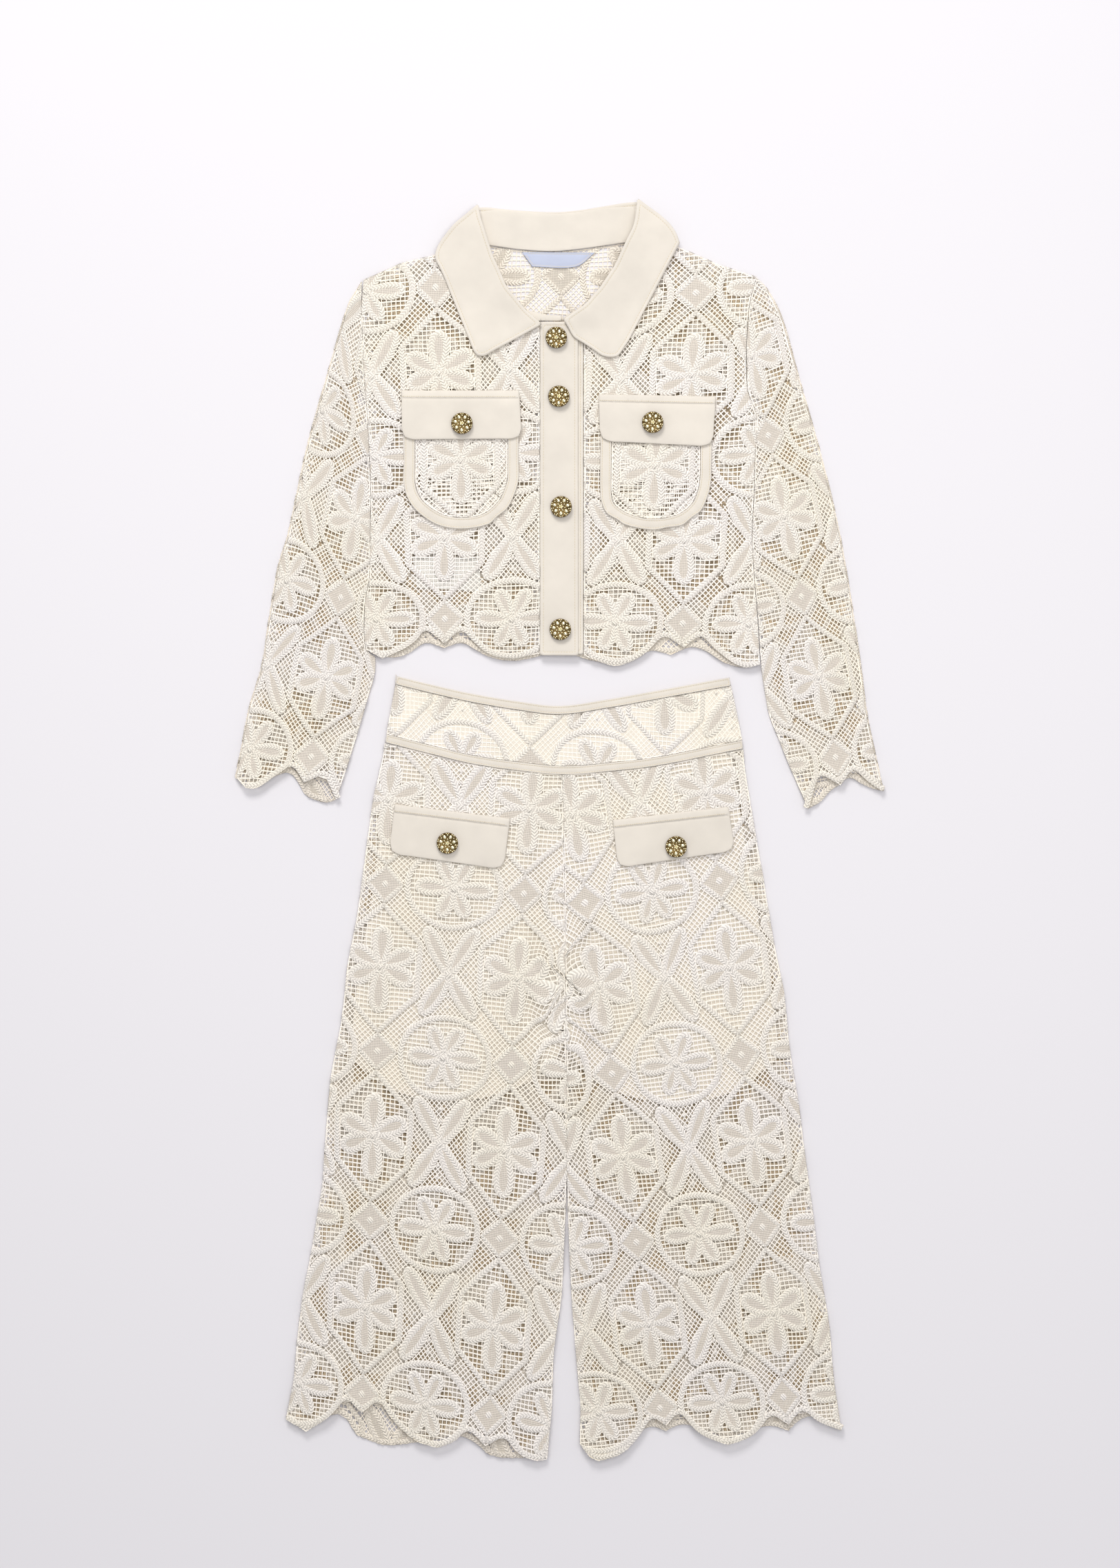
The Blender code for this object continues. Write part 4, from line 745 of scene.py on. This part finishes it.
for side, rows, sign in (("right", LEG_RIGHT, -1), ("left", LEG_LEFT, 1)):
    hem = ((sign * 250.0, -520.0), (sign * 20.0, -535.0))
    lay_lace("leg_back_%s_lace" % side, "trouser_back_" + side, 0, shift(rows, sign * 27.0, 31.0), back_lace,
             hem, 0.2, under=(("trouser_front_" + side, 0),))
    lay_lace("leg_%s_lace" % side, "trouser_front_" + side, 0, rows, face_lace, hem,
             folds=CRUMPLE, pull=gather)
WAIST = ((0, 0, -25.8, 130.0), (1, 0, 92.0, 122.0), (-1, 0, -143.0, 138.0), (0, -1, -25.8, -17.0))
lay_lace("waistband_lace", "waistband_front", 0, WAIST, face_lace)
lay_lace("waistband_back_lace", "waistband_back", 0, shift(WAIST, 40.0, 20.0), back_lace, None, 0.2,
         under=(("waistband_front", 0),))

# Lining shorts and yoke facing
# Plain cotton lining, cut loose and left raw-edged behind the lace, so it shows cream through the net.
# Each leg of it is one piece folded at its outer side.


def woven(name, code, gap=0.0006, rough=0.85, sheen=0.2, depth=0.35):
    """Plain-woven cloth, matte and slightly uneven: thread waves, drawn 0.6 mm apart so that they show."""
    mat, add = material(name)
    place = add("ShaderNodeTexCoord")
    split = add("ShaderNodeSeparateXYZ", {"Vector": place.outputs["Object"]})
    weave = crossed(add, (split.outputs["X"], split.outputs["Y"]), gap, "MULTIPLY")
    drift = add("ShaderNodeTexNoise", {"Vector": place.outputs["Object"]}, Scale=45.0, Detail=3.0)
    tone = add("ShaderNodeMapRange", {"Value": drift.outputs["Fac"]}, From_Min=0.3, From_Max=0.7,
               To_Min=0.95, To_Max=1.02)
    base = add("ShaderNodeMix", {7: tone.outputs["Result"]}, data_type="RGBA", blend_type="MULTIPLY",
               _0=1.0, _6=hex_colour(code))
    bump = add("ShaderNodeBump", {"Height": weave.outputs[0]}, Strength=depth, Distance=0.0001)
    soft = add("ShaderNodeBump", {"Height": drift.outputs["Fac"], "Normal": bump.outputs["Normal"]},
               Strength=0.3, Distance=0.0015)
    shader = add("ShaderNodeBsdfPrincipled",
                 {"Base Color": base.outputs[2], "Normal": soft.outputs["Normal"]},
                 Roughness=rough, Sheen_Weight=sheen, Specular_IOR_Level=0.25)
    add("ShaderNodeOutputMaterial", {"Surface": shader.outputs[0]})
    return mat


sewing = {"verts": [], "faces": []}


def sew(lines, surface):
    """Stitches along (line, pitch) on a surface, each of three points and a short gap."""
    sewn = Sketch()
    for line, pitch in lines:
        if len(line) < 2:
            continue
        s = np.concatenate([[0], np.cumsum(np.linalg.norm(np.diff(line, axis=0), axis=1))])
        for start in np.arange(0, s[-1] - pitch, pitch):
            at = start + pitch * np.array((0.1, 0.42, 0.74))
            q = np.stack([np.interp(at, s, line[:, k]) for k in (0, 1)], 1)
            if np.linalg.norm(q[2] - q[0]) < pitch:
                sewn.strip(q, 0.6, False, THREAD, 0.3)
    if sewn.at:
        at = np.array(sewn.at)
        base = sum(len(v) for v in sewing["verts"])
        sewing["verts"].append(np.column_stack([at, surface(at) + np.array(sewn.up) - 0.05]))
        sewing["faces"] += (np.array(sewn.quads) + base).tolist()


def shell(name, node, low, top, cloth, step, wave=None, stitch=(), edge=0.7, extra=None,
          thin=None, seam_rows=()):
    """A cloth shell between two sheets of a CAD node: rounded edges, waves, and rows of stitches.

    stitch holds (distance from the edge, stitch pitch); seam_rows are free lines stitched in the same way."""
    parts = skins(node)
    low, top = parts[low], parts[top]
    loop = eased_outline(top["outline"], step * 0.75)
    below = bed(low, 3.0, 1)
    above = bed(top, 3.0, 1) if thin is None else lambda p: below(p) + thin
    rings = [edge * 0.35, edge * 1.1]
    for inset, _ in stitch:
        rings += [inset - 0.7, inset, inset + 0.9]
    co, tri = sheet_mesh(loop, step, sorted(rings), extra)
    d = border(co, loop)[0]

    def relief(p, d):
        z = np.zeros(len(p)) if wave is None else wave(p) * np.clip(d / 1.5, 0, 1)
        for inset, _ in stitch:
            pulled = 0.28 * np.exp(-((d - inset) / 0.55) ** 2)
            z -= pulled - 0.16 * np.exp(-((d - inset * 0.5) / (inset * 0.4)) ** 2)
        return z
    under = below(co)
    high = np.maximum(above(co) + relief(co, d), under + 0.25)
    arc = np.sqrt(np.clip(1 - (1 - np.clip(d / (edge * 1.1), 0, 1)) ** 2, 0, 1))
    middle, half = (high + under) / 2, (high - under) / 2
    n = len(co)
    verts = np.concatenate([np.column_stack([co, middle + half * arc]),
                            np.column_stack([co, middle - half * arc])])
    other = np.where(d < 1e-4, np.arange(n), np.arange(n) + n)
    faces = np.concatenate([tri, other[tri[:, ::-1]]])
    lines = list(seam_rows)
    for inset, pitch in stitch:
        line = loop + inward_of(loop) * inset
        lines.append((line[border(line, loop)[0] > inset * 0.9], pitch))
    sew(lines, lambda p: above(p) + relief(p, border(p, loop)[0]))
    used = np.unique(faces)
    obj = make(name, verts[used], np.searchsorted(used, faces).tolist(), None, [cloth])
    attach(obj, "root")
    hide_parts(node)
    size = (loop.max(0) - loop.min(0)) / 1000.0
    flat = min(max(area_of(loop), 0.31 * size[0] * size[1]), 0.999 * size[0] * size[1])


lining_cotton = woven("lining_cotton_cream", "E9E1D3")
for side in ("right", "left"):
    for part, low, top in (("back", 0, 1), ("front", 2, 3)):
        shell("lining_%s_%s" % (side, part), "lining_" + side, low, top, lining_cotton, 6.0,
              lambda p: 0.25 * ripple(p, 22.0, 3.0))
shell("waistband_facing", "waistband_front", 0, 1, lining_cotton, 6.0, thin=0.45)

# Collar and its stand
# Firm cream cotton turned and edge-stitched. The fall lies round the back of the neck, its wings over the
# fronts, and the stand under it is sewn to the neck edge.

trim_cotton = woven("trim_cotton_cream", "E0D9CE")
PUCKER = 6.5    # between two puckers of a stitched edge


def soft_wave(p):
    """Light unevenness, and puckers across the cloth."""
    return 0.22 * ripple(p, 17.0, 1.0) + 0.07 * np.sin((p[:, 0] + 0.6 * p[:, 1]) * math.tau / PUCKER)


def soft_roll(p):
    """The fall swells and dips softly, as turned cloth does when it isn't pressed flat."""
    return soft_wave(p) + 0.75 * ripple(p, 36.0, 4.0)


for part, low, top in (("back", 0, 1), ("wing_a", 2, 4), ("wing_b", 3, 5)):
    shell("collar_" + part, "collar", low, top, trim_cotton, 3.0, soft_roll, ((3.0, 2.4),), 0.8)
    shell("collar_stand_" + part, "collar_stand", low, top, trim_cotton, 3.0, soft_wave)

# Front placket
# Two strips of the cream cotton: the under one carries the buttons, the one over it the buttonholes, and
# each is folded lengthwise and edge-stitched.

shell("placket_under_cloth", "placket_under", 0, 1, trim_cotton, 3.0, soft_wave, ((2.6, 2.4),))
shell("placket_over_cloth", "placket_over", 0, 1, trim_cotton, 3.0, soft_wave, ((3.0, 2.4),), 0.8)

# Chest pockets
# A lace pouch in a curved cotton binding that is eased round the bend, closed by a flap with a sewn tuck.


def flap(name, node, tuck):
    """A lined flap whose top is folded in a tuck and sewn down along its lower side."""
    loop = skins(node)[1]["outline"]
    left = loop[np.argmax(loop[:, 1] - 0.9 * loop[:, 0])]
    right = loop[np.argmax(loop[:, 1] + 0.9 * loop[:, 0])]
    way = (right - left) / np.linalg.norm(right - left)
    down = np.array([way[1], -way[0]])

    def wave(p):
        d = (p - left) @ down
        fold = np.clip((tuck + 0.25 - d) / 0.5, 0, 1) * (0.35 + 0.45 * np.sqrt(np.clip(d / tuck, 0, 1)))
        s = (p - left) @ way
        gather = 0.1 * np.sin(s * math.tau / 4.6) * np.exp(-((d - tuck * 0.6) / 2.5) ** 2)
        crease = -0.3 * np.exp(-((d - tuck - 0.9) / 0.6) ** 2)
        return fold + gather + crease + 0.12 * ripple(p, 21.0, 6.0)
    width = np.linalg.norm(right - left)
    s = np.arange(0.8, width - 0.6, 2.0)
    reaches = (1.2, 3.0, tuck - 0.8, tuck - 0.2, tuck + 0.3, tuck + 0.8, tuck + 1.6)
    rows = np.concatenate([left + way * s[:, None] + down * reach for reach in reaches])
    seam = left + way * s[:, None] + down * (tuck - 0.9)
    shell(name, node, 0, 1, trim_cotton, 3.0, wave, (), 0.8, extra=rows, seam_rows=((seam, 1.9),))


# Each pouch is cut so that a flower lies in its middle
for side, rows in (("right", shift(FRONT_RIGHT, 14.2, 67.1)), ("left", shift(FRONT_LEFT, -26.8, 65.1))):
    lay_lace("chest_pouch_%s_lace" % side, "chest_pouch_" + side, 0, rows, face_lace, None, 0.3)
    middle = skins("chest_binding_" + side)[1]["outline"]
    hub = np.array([middle[:, 0].mean(), middle[:, 1].min() + 48.0])

    def eased(p, hub=hub):
        """Small puckers where the strip goes round the bend."""
        turn = np.arctan2(p[:, 0] - hub[0], hub[1] - p[:, 1])
        return 0.16 * np.sin(turn * 34.0) * np.exp(-(turn / 1.2) ** 4) + 0.1 * ripple(p, 15.0, 2.0)
    shell("chest_binding_%s_cloth" % side, "chest_binding_" + side, 0, 1, trim_cotton, 2.6, eased,
          ((1.7, 2.2),))
    flap("chest_flap_%s_cloth" % side, "chest_flap_" + side, 6.4)
    flap("hip_flap_%s_cloth" % side, "hip_flap_" + side, 6.6)

# Waist bindings
# Folded strips of the cream cotton round the top of the yoke and round its seam with the legs, each with a
# layer at the back and one at the front.

for name in ("waist_binding_top", "waist_binding_bottom"):
    for part, low, top in (("back", 0, 1), ("front", 2, 3)):
        shell("%s_%s" % (name, part), name, low, top, trim_cotton, 2.6, soft_wave, ((1.5, 2.2),), 0.7)

# Labels
# A blank satin label with turned ends at the back of the neck, and a blank white tape inside the front. Both
# are woven finer than the cotton, and smoother.

label_satin = woven("label_satin_lavender", "BAC1D6", 0.0005, 0.45, 0.1, 0.2)
care_tape = woven("care_tape_white", "ECEAE4", 0.0005, 0.6, 0.1, 0.2)
shell("neck_label_cloth", "neck_label", 0, 1, label_satin, 2.6, lambda p: 0.1 * ripple(p, 9.0),
      ((1.3, 1.8),), 0.4)
shell("care_label_cloth", "care_label", 0, 1, care_tape, 3.0, lambda p: 0.15 * ripple(p, 14.0), (), 0.4)

# Edge stitching
# Lockstitch in a slightly darker cotton thread, a dash about each 2 mm, on every row that the cloth pieces
# above gave. It is one piece for the whole set.

sewing_thread = woven("sewing_thread_cotton", "D3C6AB", depth=0.0)
stitches = make("edge_stitching", np.concatenate(sewing["verts"]), sewing["faces"], None, [sewing_thread])
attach(stitches, "root")

# Buttons
# Cast brass shank buttons, pale gold on the raised openwork and dark in the hollows: a beaded rim, seven
# lobes with small beads between them, and a boss of five beads round one.


def brass(name, code, rough, fleck):
    """Antiqued cast brass: polished high spots over a darker, rougher ground."""
    mat, add = material(name)
    place = add("ShaderNodeTexCoord")
    grain = add("ShaderNodeTexNoise", {"Vector": place.outputs["Object"]}, Scale=900.0, Detail=2.0)
    tone = add("ShaderNodeMapRange", {"Value": grain.outputs["Fac"]}, From_Min=0.35, From_Max=0.65,
               To_Min=fleck, To_Max=1.1)
    base = add("ShaderNodeMix", {7: tone.outputs["Result"]}, data_type="RGBA", blend_type="MULTIPLY", _0=1.0,
               _6=hex_colour(code))
    shader = add("ShaderNodeBsdfPrincipled", {"Base Color": base.outputs[2]}, Metallic=1.0, Roughness=rough)
    add("ShaderNodeOutputMaterial", {"Surface": shader.outputs[0]})
    return mat


pale_gold = brass("brass_cast_pale_gold", "FFF3CC", 0.22, 0.9)
dark_brass = brass("brass_antiqued_dark", "74603C", 0.45, 0.6)
PALE, DARK = 0, 1      # the metal of a part of a button
DRAWN_RADIUS = 9.3     # mm: a button is drawn at this size and scaled to its node
BEADS, LOBES, PETALS = 30, 7, 5


def button(name, node):
    """A domed disc on a shank, dressed with rings of blobs; heights are from the node's top."""
    low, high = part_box(node)
    cx, cy, top, foot = (low[0] + high[0]) / 2, (low[1] + high[1]) / 2, high[2], low[2]
    unit = (high[0] - low[0]) / 2 / DRAWN_RADIUS
    bm = bmesh.new()

    def blob(reach, angle, z, size, turn, metal, fine=2):
        got = bmesh.ops.create_icosphere(bm, subdivisions=fine, radius=1.0)["verts"]
        bmesh.ops.scale(bm, vec=[side * unit for side in size], verts=got)
        x, y = cx + reach * math.cos(angle) * unit, cy + reach * math.sin(angle) * unit
        c, s = math.cos(turn), math.sin(turn)
        for v in got:
            v.co = Vector((x + v.co.x * c - v.co.y * s, y + v.co.x * s + v.co.y * c, top + z * unit + v.co.z))
        for f in {f for v in got for f in v.link_faces}:
            f.material_index, f.smooth = metal, True
    disc = [(0.0, -1.9), (7.9, -2.3), (8.7, -1.7), (9.3, -2.4), (9.2, -3.4), (7.0, -4.1), (0.0, -4.1)]
    profile = [bm.verts.new((cx + r * unit, cy, top + z * unit)) for r, z in disc]
    edges = [bm.edges.new(pair) for pair in zip(profile, profile[1:])]
    bmesh.ops.spin(bm, geom=profile + edges, cent=(cx, cy, 0), axis=(0, 0, 1), angle=math.tau, steps=40,
                   use_merge=True)
    bmesh.ops.remove_doubles(bm, verts=bm.verts, dist=1e-6)
    bmesh.ops.recalc_face_normals(bm, faces=bm.faces)
    for f in bm.faces:
        f.material_index, f.smooth = DARK, True
    shank = top - 3.9 * unit
    got = bmesh.ops.create_cone(bm, cap_ends=True, segments=16, radius1=2.6 * unit, radius2=2.2 * unit,
                                depth=shank - foot)["verts"]
    bmesh.ops.translate(bm, vec=(cx, cy, (shank + foot) / 2), verts=got)
    for f in {f for v in got for f in v.link_faces}:
        f.material_index = DARK
    for k in range(BEADS):
        a = k * math.tau / BEADS
        blob(8.45, a, -1.8, (0.95, 0.5, 0.5), a + 0.8, DARK if k % 3 == 0 else PALE, 1)
    for k in range(LOBES):
        a = k * math.tau / LOBES + 0.2
        between = a + 0.45
        blob(5.8, a, -1.75, (1.95, 1.6, 0.95), a, PALE)
        blob(7.0, between, -1.8, (0.7, 0.9, 0.65), between, PALE, 1)
        blob(3.3, between, -1.5, (1.0, 0.65, 0.65), between, PALE, 1)
    for k in range(PETALS):
        blob(1.35, k * math.tau / PETALS, -1.1, (0.8, 0.8, 0.7), 0, PALE)
    blob(0, 0, -0.8, (0.75, 0.75, 0.8), 0, PALE)
    mesh = bpy.data.meshes.new(name)
    bm.to_mesh(mesh)
    bm.free()
    mesh.materials.append(pale_gold)
    mesh.materials.append(dark_brass)
    obj = bpy.data.objects.new(name, mesh)
    bpy.context.scene.collection.objects.link(obj)
    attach(obj, "root")
    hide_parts(node)


for place in ("front_1", "front_2", "front_3", "front_4", "chest_right", "chest_left", "hip_right",
              "hip_left"):
    button("brass_button_" + place, "button_" + place)

# Surface, light and camera
# A plain pale sheet of matte paper, one soft light from the top of the picture, a weaker one over the middle,
# and the camera straight above.

FLOOR_HALF = 3.0
CLEARANCE = 0.0002
paper, add = material("backdrop_paper_pale")
shader = add("ShaderNodeBsdfPrincipled", Base_Color=hex_colour("E4E2E6"), Roughness=0.95,
             Specular_IOR_Level=0.1)
add("ShaderNodeOutputMaterial", {"Surface": shader.outputs[0]})
bm = bmesh.new()
bmesh.ops.create_grid(bm, x_segments=1, y_segments=1, size=FLOOR_HALF)
mesh = bpy.data.meshes.new("floor")
bm.to_mesh(mesh)
bm.free()
mesh.materials.append(paper)
floor = bpy.data.objects.new("floor", mesh)
bpy.context.scene.collection.objects.link(floor)
floor.location.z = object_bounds()[0][2] - CLEARANCE
world = bpy.data.worlds.new("studio")
bpy.context.scene.world = world
world.use_nodes = True
sky = world.node_tree.nodes["Background"]
sky.inputs["Color"].default_value = hex_colour("F4F4F6")
sky.inputs["Strength"].default_value = 0.56
for where, size, power, tint in (((-0.45, 2.3, 2.1), 1.0, 48.0, "FFFDFA"),
                                 ((0.4, 0.35, 2.5), 1.4, 23.5, "FFFDFC")):
    light = bpy.data.lights.new("softbox", "AREA")
    light.size, light.energy, light.color = size, power, hex_colour(tint)[:3]
    lamp = bpy.data.objects.new("softbox", light)
    lamp.location = where
    lamp.rotation_euler = (-Vector(where)).to_track_quat("-Z", "Y").to_euler()
    bpy.context.scene.collection.objects.link(lamp)
FRAME_HEIGHT, DISTANCE = 1.3644, 3.0    # metres that the picture's height takes in, and from how far
camera = bpy.data.cameras.new("camera")
camera.sensor_width = 36.0
camera.lens = camera.sensor_width * DISTANCE / FRAME_HEIGHT
eye = bpy.data.objects.new("camera", camera)
eye.location = (0.0006, 0.0403, DISTANCE + 0.005)
bpy.context.scene.collection.objects.link(eye)
bpy.context.scene.camera = eye
bpy.context.scene.view_settings.view_transform = "Standard"
